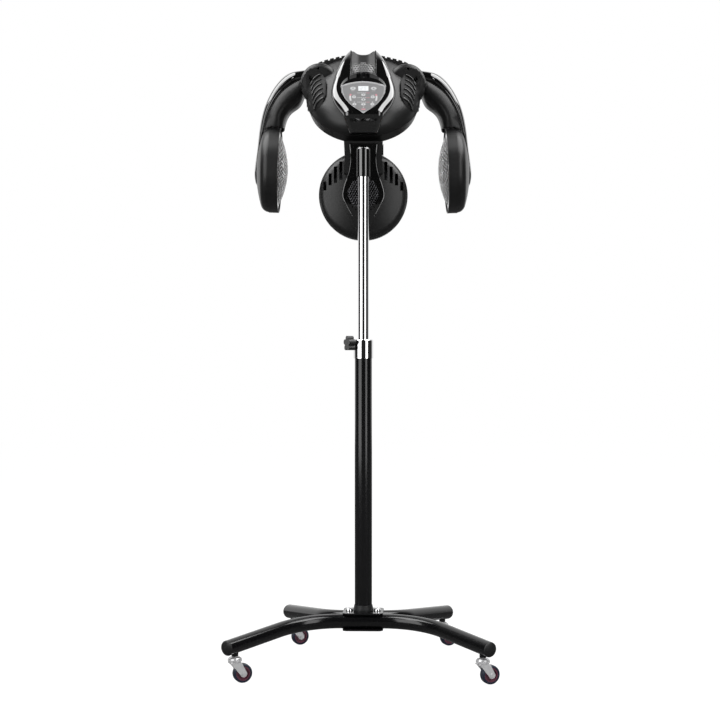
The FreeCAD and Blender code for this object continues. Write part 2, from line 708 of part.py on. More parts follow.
def pivot_pin():
    far_y = ARM_PIVOT.y + KNUCKLE_W / 2 + CLEARANCE
    inner_y = PIVOT_WALL_Y - 2 * SHELL_WALL
    shank = along_y(PIN_R, ARM_PIVOT.x, ARM_PIVOT.z, inner_y, far_y)
    inner_head = along_y(PIN_HEAD_R, ARM_PIVOT.x, ARM_PIVOT.z, inner_y - PIN_HEAD_T, inner_y)
    outer_head = along_y(PIN_HEAD_R, ARM_PIVOT.x, ARM_PIVOT.z, far_y, far_y + PIN_HEAD_T)
    return shank.fuse([inner_head, outer_head])


# ---------------------------------------------------------------- side arms (the right arm; the left one is mirrored)

# outer edge, inner edge and width of the arm at each station from the knuckle to the tip
ARM_STATIONS = [
    ((120.0, 1548.0), (120.0, 1470.0), 90.0),
    ((193.0, 1522.0), (163.0, 1446.0), 90.0),
    ((236.0, 1483.0), (186.0, 1424.0), 88.0),
    ((262.0, 1431.0), (203.0, 1402.0), 84.0),
    ((275.0, 1376.0), (213.0, 1362.0), 80.0),
    ((283.0, 1308.0), (226.0, 1306.0), 76.0),
    ((289.0, 1255.0), (238.0, 1255.0), 70.0),
    ((285.0, 1226.0), (250.0, 1226.0), 60.0),
]
COVER_DEPTH = [22.0, 19.0, 14.0, 10.0, 8.0, 7.0, 6.0, 6.0]
ARM_HOLLOW_END = 5            # the arm is solid past this station, over the lamp


def arm_section(station, inset):
    """Rounded section across the arm, drawn through eight points of a soft rectangle."""
    (ox, oz), (ix, iz), width = station
    outer = V(ox, ARM_PIVOT.y, oz)
    inner = V(ix, ARM_PIVOT.y, iz)
    middle = (outer + inner) * 0.5
    out = (outer - inner).normalize()
    half_t = (outer - inner).Length / 2 - inset
    half_w = width / 2 - inset
    points = []
    count = 16
    for i in range(count):
        angle = 2 * math.pi * i / count
        c = math.cos(angle)
        s = math.sin(angle)
        squareness = (abs(c) ** 4 + abs(s) ** 4) ** -0.25
        points.append(middle + out * (half_t * c * squareness) + V(0, half_w * s * squareness, 0))
    curve = Part.BSplineCurve()
    curve.interpolate(points, PeriodicFlag=True)
    return Part.Wire([curve.toShape()])


def arm_loft(inset, first=0, last=None):
    return Part.makeLoft([arm_section(station, inset) for station in ARM_STATIONS[first:last]], True)


def cover_region():
    """Everything outside the seam between an arm's shell and its gloss cover."""
    seam = []
    outside = []
    for (outer, inner, width), depth in zip(ARM_STATIONS, COVER_DEPTH):
        outer_point = V(outer[0], 0, outer[1])
        inner_point = V(inner[0], 0, inner[1])
        out = (outer_point - inner_point).normalize()
        seam.append(outer_point - out * depth)
        outside.append(outer_point + out * 20)
    seam.append(V(seam[-1].x - 4, 0, ARM_STATIONS[-1][0][1] - 20))
    outside.append(V(outside[-1].x, 0, ARM_STATIONS[-1][0][1] - 20))
    edges = [spline_edge(seam), Part.makeLine(seam[-1], outside[-1])]
    edges += polyline_edges(list(reversed(outside)))
    edges.append(Part.makeLine(outside[0], seam[0]))
    return Part.Face(Part.Wire(edges)).extrude(V(0, 2 * ARM_PIVOT.y, 0))


def side_lamp_frame():
    """Rim centre of the right lamp, and the way it looks: inwards and a little down."""
    tilt = math.radians(SIDE_LAMP_TILT)
    return V(SIDE_RIM_X, SIDE_LAMP_Y, SIDE_LAMP_Z), V(-math.cos(tilt), 0, -math.sin(tilt))


def side_lamp(shape):
    centre, look = side_lamp_frame()
    return placed(shape, centre, look, V(0, 1, 0))


def right_arm():
    """Matte shell and gloss cover of the right arm."""
    y0 = ARM_PIVOT.y - KNUCKLE_W / 2
    y1 = ARM_PIVOT.y + KNUCKLE_W / 2
    knuckle = along_y(KNUCKLE_R, ARM_PIVOT.x, ARM_PIVOT.z, y0, y1)
    bore = along_y(PIN_R + RUNNING_FIT, ARM_PIVOT.x, ARM_PIVOT.z, 0, 2 * ARM_PIVOT.y)
    drum_room = along_y(KNUCKLE_R - ARM_WALL, ARM_PIVOT.x, ARM_PIVOT.z, y0 + ARM_WALL, y1 - ARM_WALL)
    drum_room = drum_room.cut(along_y(2 * PIN_R, ARM_PIVOT.x, ARM_PIVOT.z, y0, y1))
    hollow = arm_loft(ARM_WALL, 1, ARM_HOLLOW_END)
    front_of_rim = cylinder(LAMP_R, 0, 2 * GUARD_RISE)
    lamp = side_lamp(lamp_envelope(LAMP_R, LAMP_R, LAMP_BAND, LAMP_DOME).fuse(front_of_rim))
    body = knuckle.fuse(arm_loft(0)).cut(drum_room).cut(hollow).cut(bore).cut(lamp)
    region = cover_region()
    return body.cut(region), body.common(region)


# ---------------------------------------------------------------- rear arm

NECK_HALF_W = 49.0
NECK_WAIST = 2.0
NECK_TOP_Z = CROWN_LIP.z
NECK_DEPTH = 23.0             # of the neck behind the crown's lip
COVER_FRONT_Y = ROD_R + 1
COVER_T = 6.0
REAR_ARM_BOTTOM_Z = 1228.0
COVER_WIDTHS = [(1303.0, 35.0), (1294.0, 34.5), (1264.0, 31.5), (1232.0, 35.5), (1200.0, 48.0),
                (1176.0, 53.8), (1160.0, 50.5), (1121.0, 28.5), (1095.0, 19.7), (1082.0, 8.0)]
VENT_Z = 1171.0
VENT_ROWS = ((24.0, 12), (31.0, 18), (38.0, 24))


def rear_lamp(shape):
    return placed(shape, V(0, REAR_RIM_Y, REAR_LAMP_Z), V(0, 1, 0), V(-1, 0, 0))


def neck_profile(inset):
    """Side view of the rear arm, from the crown's rim down to the lamp."""
    front = COVER_FRONT_Y + COVER_T
    back = CROWN_LIP.y + NECK_DEPTH
    rise = NECK_DEPTH * math.tan(math.radians(CROWN_TILT))
    corners = [(front, NECK_TOP_Z), (front, REAR_ARM_BOTTOM_Z), (back, REAR_ARM_BOTTOM_Z),
               (back, NECK_TOP_Z + rise), (CROWN_LIP.y, NECK_TOP_Z)]
    points = [V(0, y, z) for y, z in corners]
    face = Part.Face(Part.makePolygon(points + points[:1]))
    return face.makeOffset2D(-inset, 2) if inset else face


def rear_arm_blank(inset):
    """Body of the rear arm: its front view and its side view, crossed."""
    half = NECK_HALF_W - inset
    waist = half - NECK_WAIST
    middle_z = (NECK_TOP_Z + REAR_ARM_BOTTOM_Z) / 2
    corners = [(-half, 2 * NECK_TOP_Z), (-half, NECK_TOP_Z), (-waist, middle_z), (-half, REAR_ARM_BOTTOM_Z),
               (half, REAR_ARM_BOTTOM_Z), (waist, middle_z), (half, NECK_TOP_Z), (half, 2 * NECK_TOP_Z)]
    points = [V(x, 0, z) for x, z in corners]
    front_view = Part.Face(Part.makePolygon(points + points[:1])).extrude(V(0, 200, 0))
    side_view = neck_profile(inset).extrude(V(2 * NECK_HALF_W, 0, 0))
    side_view.translate(V(-NECK_HALF_W, 0, 0))
    return front_view.common(side_view)


def rear_arm_shell(crown, socket, lamp):
    shell = rear_arm_blank(0).cut(rear_arm_blank(ARM_WALL)).cut(crown).cut(socket).cut(lamp)
    y, z = INLET_PLACE
    window = Part.makeBox(20, INLET_W, INLET_H, V(NECK_HALF_W - 10, y - INLET_W / 2, z - INLET_H / 2))
    return shell.cut(window)


def rear_cover(crown, socket, lamp):
    """Gloss cover: narrow on the neck, round over the lamp's middle, ending in a tail."""
    right = [V(w, 0, z) for z, w in COVER_WIDTHS]
    left = [V(-p.x, 0, p.z) for p in reversed(right)]
    edges = [spline_edge(right), Part.makeLine(right[-1], left[0]), spline_edge(left),
             Part.makeLine(left[-1], right[0])]
    front_view = Part.Face(Part.Wire(edges)).extrude(V(0, 100, 0))
    y0 = COVER_FRONT_Y
    front = [V(0, y, z) for y, z in ((y0, 1225), (y0 + 3, 1190), (y0 + 6, 1160), (y0 + 12, 1120), (y0 + 25, 1080))]
    back = [V(0, y, z) for y, z in ((y0 + 31, 1080), (60, 1120), (60, REAR_ARM_BOTTOM_Z),
                                    (y0 + COVER_T, REAR_ARM_BOTTOM_Z), (y0 + COVER_T, NECK_TOP_Z),
                                    (y0, NECK_TOP_Z))]
    edges = [spline_edge(front)] + polyline_edges([front[-1]] + back + [front[0]])
    side_view = Part.Face(Part.Wire(edges)).extrude(V(140, 0, 0))
    side_view.translate(V(-70, 0, 0))
    cover = front_view.common(side_view).cut(crown).cut(socket).cut(lamp)
    holes = []
    for row_r, count in VENT_ROWS:
        for i in range(count):
            angle = 2 * math.pi * i / count
            holes.append(along_y(1.8, row_r * math.cos(angle), VENT_Z + row_r * math.sin(angle), 10, 60))
    return cover.cut(holes)


def rear_lamp_vents():
    slots = []
    spans = ((1214, 1262), (1206, 1249), (1201, 1231), (1188, 1211))
    for i, (low, high) in enumerate(spans):
        x = VENT_FIRST_X + i * VENT_PITCH
        slot = Part.makeBox(VENT_SLOT_W, 55, high - low, V(x - VENT_SLOT_W / 2, 15, low))
        slots += [slot, mirrored(slot)]
    return slots


def power_inlet():
    """Socket insert for a mains lead, open towards +X."""
    y, z = INLET_PLACE
    x1 = NECK_HALF_W
    body = Part.makeBox(INLET_DEPTH, INLET_W, INLET_H, V(x1 - INLET_DEPTH, y - INLET_W / 2, z - INLET_H / 2))
    flange = Part.makeBox(INLET_FLANGE_T, INLET_W + 2 * INLET_FLANGE, INLET_H + 2 * INLET_FLANGE,
                          V(x1, y - INLET_W / 2 - INLET_FLANGE, z - INLET_H / 2 - INLET_FLANGE))
    well = Part.makeBox(INLET_DEPTH, INLET_W - 2 * INLET_WALL, INLET_H - 2 * INLET_WALL,
                        V(x1 - INLET_DEPTH + INLET_WALL + INLET_FLANGE_T, y - INLET_W / 2 + INLET_WALL,
                          z - INLET_H / 2 + INLET_WALL))
    inlet = body.fuse(flange).cut(well)
    blades = []
    for dy in (-7, 0, 7):
        dz = 2.5 if dy == 0 else -1.5
        blades.append(Part.makeBox(INLET_DEPTH - 3, 2, 4, V(x1 - INLET_DEPTH, y + dy - 1, z + dz - 2)))
    return inlet.fuse(blades).removeSplitter()


# ---------------------------------------------------------------- console

PANEL_N = V(0, -math.cos(math.radians(PANEL_TILT)), math.sin(math.radians(PANEL_TILT)))
CONSOLE_EDGE = [(34.0, 1327.0), (42.0, 1345.0), (50.0, 1364.0), (70.0, 1394.0), (81.0, 1432.0),
                (77.0, 1460.0), (62.0, 1509.0), (42.0, 1551.0), (33.0, 1564.0)]
CONSOLE_TOP = [(33.0, 1564.0), (27.0, 1561.0), (14.0, 1553.0), (0.0, 1551.0)]
CONSOLE_LIP = 3.0             # the frame stands this much higher than the bezel
CONSOLE_ROUND = 16.0          # of the frame's front edges
DISH_R = 57.5                 # round dish with the panel in it
DISH_UP = 31.3                # its middle above the panel's centre
DISH_RIDGE = 3.0              # wall between the dish and the hollow above it
HOLLOW_START_Y = 136.0        # where the hollow between the horns leaves their top
HOLLOW_RUN = V(0, -97.0, -90.0)
CONSOLE_FLAT_Z = (1366.0, 1476.0)
CONSOLE_CHIN = [(-5.0, 1327.0), (-22.0, 1345.0)]
CONSOLE_BROW = [(72.0, 1518.0), (106.0, 1548.0), (140.0, 1566.0), (166.0, 1564.0)]
CONSOLE_BACK = [(190.0, 1545.0), (185.0, 1500.0), (60.0, 1400.0), (40.0, 1327.0)]


def panel_placed(shape):
    """Local X runs across the panel, local Y up along it, local Z out of it."""
    return placed(shape, PANEL_CENTRE, PANEL_N, ACROSS)


def panel_face(offset):
    """Shield outline of the panel, from three arcs."""
    wide, shoulder = PANEL_SHOULDER
    side_x, side_y = PANEL_SIDE
    top = Part.Arc(V(-wide, shoulder, 0), V(0, PANEL_HALF_H, 0), V(wide, shoulder, 0)).toShape()
    right = Part.Arc(V(wide, shoulder, 0), V(side_x, side_y, 0), V(0, -PANEL_HALF_H, 0)).toShape()
    left = Part.Arc(V(0, -PANEL_HALF_H, 0), V(-side_x, side_y, 0), V(-wide, shoulder, 0)).toShape()
    face = Part.Face(Part.Wire([top, right, left]))
    if offset:
        face = face.makeOffset2D(offset)
    return face


def panel_prism(offset, z0, z1):
    solid = panel_face(offset).extrude(V(0, 0, z1 - z0))
    solid.translate(V(0, 0, z0))
    if solid.Volume < 0:
        solid.reverse()
    return solid


def console_saddle():
    """Curve between the horns' tips, from right to left."""
    right = [V(x, 0, z) for x, z in CONSOLE_TOP]
    left = [V(-p.x, 0, p.z) for p in reversed(right)]
    return spline_edge(right + left[1:])


def console_front_view():
    right = [V(x, 0, z) for x, z in CONSOLE_EDGE]
    left = [V(-p.x, 0, p.z) for p in reversed(right)]
    edges = [spline_edge(right), console_saddle(), spline_edge(left), Part.makeLine(left[-1], right[0])]
    solid = Part.Face(Part.Wire(edges)).extrude(V(0, 300, 0))
    solid.translate(V(0, -100, 0))
    return solid


def console_side_view():
    """Chin, sloping front, and the brow that runs back over the dome."""
    slope = math.tan(math.radians(PANEL_TILT))
    proud = (BEZEL_PROUD + CONSOLE_LIP) / math.cos(math.radians(PANEL_TILT))
    chin_z, brow_z = CONSOLE_FLAT_Z
    chin_y = PANEL_CENTRE.y + (chin_z - PANEL_CENTRE.z) * slope - proud
    brow_y = PANEL_CENTRE.y + (brow_z - PANEL_CENTRE.z) * slope - proud
    chin = [V(0, y, z) for y, z in CONSOLE_CHIN] + [V(0, chin_y, chin_z)]
    brow = [V(0, brow_y, brow_z)] + [V(0, y, z) for y, z in CONSOLE_BROW]
    behind = [V(0, y, z) for y, z in CONSOLE_BACK] + [chin[0]]
    edges = [spline_edge(chin), Part.makeLine(chin[-1], brow[0]), spline_edge(brow)]
    edges += polyline_edges([brow[-1]] + behind)
    solid = Part.Face(Part.Wire(edges)).extrude(V(200, 0, 0))
    solid.translate(V(-100, 0, 0))
    return solid


def console_pocket():
    """Stepped room for the bezel, the plate and the circuit board."""
    steps = [panel_prism(BEZEL_W, -PANEL_T, 30), panel_prism(-LEDGE_W, -BOARD_DEPTH, 0),
             panel_prism(-2 * LEDGE_W, -POCKET_DEPTH, 0)]
    room = KEY_FLANGE + CLEARANCE
    notches = [oval(width + 2 * room, height + 2 * room, -BOARD_DEPTH, 0, x, up)
               for x, up, width, height in KEYS.values()]
    return [panel_placed(step) for step in steps + notches]


def facing(face):
    """Which way a face of the console looks: front, side or elsewhere."""
    u0, u1, v0, v1 = face.ParameterRange
    normal = face.normalAt((u0 + u1) / 2, (v0 + v1) / 2)
    if abs(normal.x) > 0.5:
        return "side"
    return "front" if normal.y < -0.3 else "elsewhere"


def console_blank():
    """Console before it is hollowed, with its front edges well rounded."""
    blank = console_front_view().common(console_side_view()).Solids[0]
    soft_edges = []
    for edge in blank.Edges:
        sides = [facing(face) for face in blank.Faces if any(edge.isSame(other) for other in face.Edges)]
        if "front" in sides and "elsewhere" not in sides:
            soft_edges.append(edge)
    return blank.makeFillet(CONSOLE_ROUND, soft_edges)


def console_hollow():
    """Hollow that falls from the saddle between the horns to the dish around the panel."""
    saddle = console_saddle()
    right, left = [saddle.valueAt(end) for end in (saddle.FirstParameter, saddle.LastParameter)]
    rise = V(0, 0, 100)
    edges = [saddle] + polyline_edges([left, left + rise, right + rise, right])
    hollow = Part.Face(Part.Wire(edges)).extrude(HOLLOW_RUN)
    hollow.translate(V(0, HOLLOW_START_Y, 0))
    return hollow.cut(panel_placed(cylinder(DISH_R + DISH_RIDGE, -100, 100, 0, DISH_UP)))


def console_frame(crown):
    dish = panel_placed(cylinder(DISH_R, 0, 100, 0, DISH_UP))
    return console_blank().cut([crown, dish, console_hollow()] + console_pocket())


def key_blank(name, grow=0.0):
    x, up, width, height = KEYS[name]
    return oval(width + 2 * grow, height + 2 * grow, -PANEL_T, KEY_PROUD, x, up)


def key_solid(name):
    x, up, width, height = KEYS[name]
    cap = key_blank(name)
    flange = oval(width + 2 * KEY_FLANGE, height + 2 * KEY_FLANGE, -PANEL_T - 1.1, -PANEL_T - 0.1, x, up)
    bridge = oval(width, height, -PANEL_T - 0.1, -PANEL_T, x, up)
    stem_low = -BOARD_DEPTH + BOARD_T + SWITCH_H + KEY_TRAVEL + 0.1
    stem = cylinder(1.5, stem_low, -PANEL_T - 1, x, up)
    return cap.fuse([flange, bridge, stem]).removeSplitter()


def control_board():
    board = panel_prism(-LEDGE_W, -BOARD_DEPTH, -BOARD_DEPTH + BOARD_T)
    top = -BOARD_DEPTH + BOARD_T
    switches = [cylinder(SWITCH_R, top, top + SWITCH_H, x, up) for x, up, w, h in KEYS.values()]
    return board.fuse(switches).removeSplitter()


def display_block(z0, z1):
    return Part.makeBox(DISPLAY_W, DISPLAY_H, z1 - z0, V(-DISPLAY_W / 2, DISPLAY_T_UP - DISPLAY_H / 2, z0))


# ---------------------------------------------------------------- assembly

def make_base():
    export("front_leg_tube", base_turned(leg_tube(*FRONT_LEG)))
    export("rear_leg_tube", base_turned(leg_tube(*REAR_LEG)))
    export("leg_end_caps", base_turned(end_caps(leg_paths())))
    plates = group([hub_plate(HUB_TOP_Z - HUB_PLATE_T), hub_plate(HUB_BOTTOM_Z)])
    export("hub_plates", base_turned(plates))
    export("hub_bolts", base_turned(group([hub_bolt(-BOLT_X), hub_bolt(BOLT_X)])))
    bore_r = STEM_R + RUNNING_FIT
    sockets = []
    for x, y in stem_places().values():
        socket = cylinder(SOCKET_R, SOCKET_LOW_Z, SOCKET_HIGH_Z, x, y)
        sockets.append(socket.cut(cylinder(bore_r, SOCKET_LOW_Z, CASTER_H + STEM_LENGTH + 1, x, y)))
    export("caster_sockets", base_turned(group(sockets)))
    export("mast_outer_tube", ring(MAST_R, MAST_R - MAST_WALL, HUB_TOP_Z, MAST_TOP_Z))
    foot = turned([(MAST_R, HUB_TOP_Z), (FOOT_R, HUB_TOP_Z), (FOOT_R, HUB_TOP_Z + 4),
                   (MAST_R + 1, HUB_TOP_Z + FOOT_H), (MAST_R, HUB_TOP_Z + FOOT_H)])
    export("mast_foot_collar", foot)
    export("clamp_collar", clamp_collar())
    export("mast_guide_bush", ring(MAST_R - MAST_WALL, ROD_R + RUNNING_FIT, MAST_TOP_Z - BUSH_LENGTH, MAST_TOP_Z))
    export("clamp_knob", clamp_knob())
    export("mast_inner_tube", ring(ROD_R, ROD_R - ROD_WALL, ROD_BOTTOM_Z, SOCKET_BOTTOM_Z + SOCKET_DEPTH))


def make_casters():
    pieces = {"fork": caster_fork(), "tyre": caster_tyre(), "hub": caster_hub()}
    for corner, (x, y) in stem_places().items():
        stem = V(x, y, 0)
        turn = math.radians(BASE_TURN)
        place = V(stem.x * math.cos(turn) - stem.y * math.sin(turn),
                  stem.x * math.sin(turn) + stem.y * math.cos(turn), 0)
        for piece, shape in pieces.items():
            copy = shape.copy()
            copy.rotate(V(0, 0, 0), UP, CASTER_TURN)
            copy.translate(place)
            export(f"{corner}_caster_{piece}", copy)


def make_head():
    crown = crown_outside()
    lamp = rear_lamp(lamp_envelope(LAMP_R, LAMP_R, LAMP_BAND, LAMP_DOME))
    outline = socket_outline()
    rod_top = SOCKET_BOTTOM_Z + SOCKET_DEPTH
    bore = cylinder(ROD_R + RUNNING_FIT, SOCKET_BOTTOM_Z, rod_top + CLEARANCE)
    export("head_socket", outline.cut(bore))
    export("crown_shell", crown_shell(crown))
    export("arm_pivot_pins", group(both_sides([pivot_pin()])))
    export("rear_arm_shell", rear_arm_shell(crown, outline, lamp))
    export("rear_arm_cover", rear_cover(crown, outline, lamp))
    casing = lamp_envelope(LAMP_R, LAMP_R, LAMP_BAND, LAMP_DOME)
    casing = casing.cut(lamp_envelope(LAMP_R, LAMP_R, LAMP_BAND, LAMP_DOME, SHELL_WALL))
    export("rear_lamp_housing", rear_lamp(casing).cut(rear_lamp_vents()))
    export("power_inlet", power_inlet())
    lamp_floor = lamp_floor_z(LAMP_BAND, LAMP_DOME)
    reflector = lamp_reflector(LAMP_R, lamp_floor)
    heater = lamp_heater(LAMP_R, lamp_floor)
    guard = lamp_guard(LAMP_R)
    crown_reflector = crown_lamp(lamp_reflector(CROWN_LAMP_R, CROWN_LAMP_FLOOR))
    crown_heater = crown_lamp(lamp_heater(CROWN_LAMP_R, CROWN_LAMP_FLOOR, CROWN_HEATER_LIFT))
    export("head_reflectors", group([rear_lamp(reflector), crown_reflector]))
    export("head_heaters", group([rear_lamp(heater), crown_heater]))
    export("head_guards", group([rear_lamp(guard), crown_lamp(lamp_guard(CROWN_LAMP_R))]))
    shell, cover = right_arm()
    side_pieces = {"arm_shell": shell, "arm_cover": cover, "lamp_housing": side_lamp(casing),
                   "reflector": side_lamp(reflector), "heater": side_lamp(heater), "guard": side_lamp(guard)}
    for piece, shape in side_pieces.items():
        export(f"right_{piece}", shape)
        export(f"left_{piece}", mirrored(shape))
    export("console_frame", console_frame(crown))


def make_panel():
    bezel = panel_prism(BEZEL_W, -PANEL_T, BEZEL_PROUD).cut(panel_prism(0, -PANEL_T, BEZEL_PROUD))
    export("panel_bezel", panel_placed(bezel))
    plate = panel_prism(0, -PANEL_T, 0).cut([key_blank(name, KEY_FIT) for name in KEYS])
    plate = plate.cut(display_block(-PANEL_T, 0))
    export("keypad_plate", panel_placed(plate))
    export("display_window", panel_placed(display_block(-BOARD_DEPTH + BOARD_T, 0)))
    export("control_board", panel_placed(control_board()))
    for name in KEYS:
        export(name, panel_placed(key_solid(name)))


os.makedirs("parts", exist_ok=True)
make_base()
make_casters()
make_head()
make_panel()
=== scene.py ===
# %% [markdown]
# # A hair colour processor on a wheeled stand
# A salon machine that warms hair from four sides: a domed lamp above the head, a round lamp behind
# it and two round lamps on swinging arms. It stands on a telescopic mast over four casters.
# The engineering model is loaded first and stays where it is. Everything made below is placed
# around it, in metres, in the same frame: the mast stands on the origin, +Z is up and the operator
# stands on the -Y side.

# %% Load the frame
import json
import math

import bmesh
import bpy
from mathutils import Matrix, Vector
from mathutils.bvhtree import BVHTree


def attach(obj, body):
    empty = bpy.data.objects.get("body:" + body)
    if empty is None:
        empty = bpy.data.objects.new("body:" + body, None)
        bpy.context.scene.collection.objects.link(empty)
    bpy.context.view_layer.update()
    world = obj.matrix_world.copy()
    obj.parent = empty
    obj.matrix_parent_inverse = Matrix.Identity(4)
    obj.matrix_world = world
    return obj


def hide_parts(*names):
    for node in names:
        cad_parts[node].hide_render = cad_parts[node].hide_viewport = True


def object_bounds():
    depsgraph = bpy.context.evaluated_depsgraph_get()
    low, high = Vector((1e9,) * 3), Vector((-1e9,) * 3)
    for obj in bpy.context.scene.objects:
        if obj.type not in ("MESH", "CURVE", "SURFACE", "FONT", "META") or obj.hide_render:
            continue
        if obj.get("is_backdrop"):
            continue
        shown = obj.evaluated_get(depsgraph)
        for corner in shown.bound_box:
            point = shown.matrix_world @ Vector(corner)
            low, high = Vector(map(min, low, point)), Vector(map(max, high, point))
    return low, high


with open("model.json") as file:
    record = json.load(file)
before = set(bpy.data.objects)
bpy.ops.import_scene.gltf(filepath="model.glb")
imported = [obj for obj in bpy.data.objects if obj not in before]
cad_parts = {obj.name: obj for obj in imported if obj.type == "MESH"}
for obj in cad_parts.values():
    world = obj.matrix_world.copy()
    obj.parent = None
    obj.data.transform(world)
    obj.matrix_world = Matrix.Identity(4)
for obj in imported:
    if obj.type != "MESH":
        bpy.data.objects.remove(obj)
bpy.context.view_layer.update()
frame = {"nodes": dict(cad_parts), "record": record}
nodes = frame["nodes"]

# %% [markdown]
# ## Units
# The parts were drawn in millimetres, so the numbers below are easier to read in millimetres too.
# One factor turns them into Blender's metres.

# %% Millimetres
MM = 0.001


def point(x, y, z):
    return Vector((x, y, z)) * MM


# %% [markdown]
# ## Smooth shading
# The machine's mouldings are smooth, but its corners are crisp. Blender can shade by angle: faces
# that meet at less than a chosen angle look like one curved surface, and the rest keep their edge.

# %% Shading helper
CREASE_ANGLE = math.radians(32)


def shade(obj, angle=CREASE_ANGLE):
    """Smooth shading with sharp edges where faces meet at more than the angle."""
    mesh = obj.data
    mesh.shade_smooth()
    mesh.set_sharp_from_angle(angle=angle)


# %% [markdown]
# ## Shared surface effects
# Two effects turn up in most of the finishes. Moulded plastic and enamel have a very fine grain,
# and every used surface is a little smoother in some places than in others. Each effect is a node
# group with its own inputs, built once and placed in each material with its own values.

# %% Node group helpers
def new_group(name, inputs, outputs):
    """Shader node group with float or colour sockets; returns the tree and its end nodes."""
    tree = bpy.data.node_groups.new(name, "ShaderNodeTree")
    for socket_name, kind, value in inputs:
        socket = tree.interface.new_socket(name=socket_name, in_out="INPUT", socket_type=kind)
        socket.default_value = value
    for socket_name, kind in outputs:
        tree.interface.new_socket(name=socket_name, in_out="OUTPUT", socket_type=kind)
    start = tree.nodes.new("NodeGroupInput")
    end = tree.nodes.new("NodeGroupOutput")
    return tree, start, end


def object_noise(tree, start, detail):
    """Noise in object coordinates, scaled by the group's own Scale input."""
    coordinate = tree.nodes.new("ShaderNodeTexCoord")
    noise = tree.nodes.new("ShaderNodeTexNoise")
    noise.inputs["Detail"].default_value = detail
    tree.links.new(coordinate.outputs["Object"], noise.inputs["Vector"])
    tree.links.new(start.outputs["Scale"], noise.inputs["Scale"])
    return noise


def math_node(tree, operation, *values, clamp=False):
    """Math node fed by sockets or plain numbers; returns its output socket."""
    node = tree.nodes.new("ShaderNodeMath")
    node.operation = operation
    node.use_clamp = clamp
    for socket, value in zip(node.inputs, values):
        if isinstance(value, bpy.types.NodeSocket):
            tree.links.new(value, socket)
        else:
            socket.default_value = value
    return node.outputs["Value"]


GRAIN_DETAIL = 3.0
MARK_DETAIL = 5.0


def grain_group():
    """Height of a fine moulding grain, in object coordinates."""
    tree, start, end = new_group(
        "fine_grain", [("Scale", "NodeSocketFloat", 900.0), ("Softness", "NodeSocketFloat", 0.5)],
        [("Height", "NodeSocketFloat")])
    noise = object_noise(tree, start, GRAIN_DETAIL)
    tree.links.new(start.outputs["Softness"], noise.inputs["Roughness"])
    tree.links.new(noise.outputs["Fac"], end.inputs["Height"])
    return tree


def handling_and_glints_group():
    """Patches where hands and cloths made a surface duller or shinier, a little paler; on guards,
    painted glints.
    """
    tree, start, end = new_group(
        "handling_and_glints", [("Clean", "NodeSocketColor", (0.02, 0.02, 0.02, 1)),
                     ("Handled_and_glint", "NodeSocketColor", (0.03, 0.03, 0.03, 1)),
                     ("Roughness", "NodeSocketFloat", 0.4), ("Spread", "NodeSocketFloat", 0.08),
                     ("Scale", "NodeSocketFloat", 9.0)],
        [("Color", "NodeSocketColor"), ("Roughness", "NodeSocketFloat")])
    noise = object_noise(tree, start, MARK_DETAIL)
    mix = tree.nodes.new("ShaderNodeMix")
    mix.data_type = "RGBA"
    tree.links.new(noise.outputs["Fac"], mix.inputs["Factor"])
    tree.links.new(start.outputs["Clean"], mix.inputs["A"])
    tree.links.new(start.outputs["Handled_and_glint"], mix.inputs["B"])
    tree.links.new(mix.outputs["Result"], end.inputs["Color"])
    centred = math_node(tree, "SUBTRACT", noise.outputs["Fac"], 0.5)
    swing = math_node(tree, "MULTIPLY_ADD", centred, start.outputs["Spread"],
                      start.outputs["Roughness"])
    tree.links.new(swing, end.inputs["Roughness"])
    return tree


GRAIN = grain_group()
HANDLING_AND_GLINTS = handling_and_glints_group()
print("node groups:", GRAIN.name, HANDLING_AND_GLINTS.name)

# %% [markdown]
# ## Finishes
# Each finish is a Principled shader. Its colour and roughness come from the group of handling
# patches, which on the lamp guards paints glints, and its normal from a bump of the grain group.
# What is the same all over, such as metallic or coat, is set on the shader's own socket.

# %% Finish builder
def finish(name, clean, handled_and_glint, roughness, spread=0.06, grain=900.0, bump=0.0, mark_scale=9.0,
           **sockets):
    """Material from the two groups; bump is the grain's height in millimetres."""
    material = bpy.data.materials.new(name)
    material.use_nodes = True
    tree = material.node_tree
    shader = tree.nodes["Principled BSDF"]
    marks = tree.nodes.new("ShaderNodeGroup")
    marks.node_tree = HANDLING_AND_GLINTS
    marks.inputs["Clean"].default_value = (*clean, 1)
    marks.inputs["Handled_and_glint"].default_value = (*handled_and_glint, 1)
    marks.inputs["Roughness"].default_value = roughness
    marks.inputs["Spread"].default_value = spread
    marks.inputs["Scale"].default_value = mark_scale
    tree.links.new(marks.outputs["Color"], shader.inputs["Base Color"])
    tree.links.new(marks.outputs["Roughness"], shader.inputs["Roughness"])
    if bump:
        texture = tree.nodes.new("ShaderNodeGroup")
        texture.node_tree = GRAIN
        texture.inputs["Scale"].default_value = grain
        bumped = tree.nodes.new("ShaderNodeBump")
        bumped.inputs["Distance"].default_value = bump * MM
        tree.links.new(texture.outputs["Height"], bumped.inputs["Height"])
        tree.links.new(bumped.outputs["Normal"], shader.inputs["Normal"])
    for socket, value in sockets.items():
        shader.inputs[socket.replace("_", " ")].default_value = value
    return material


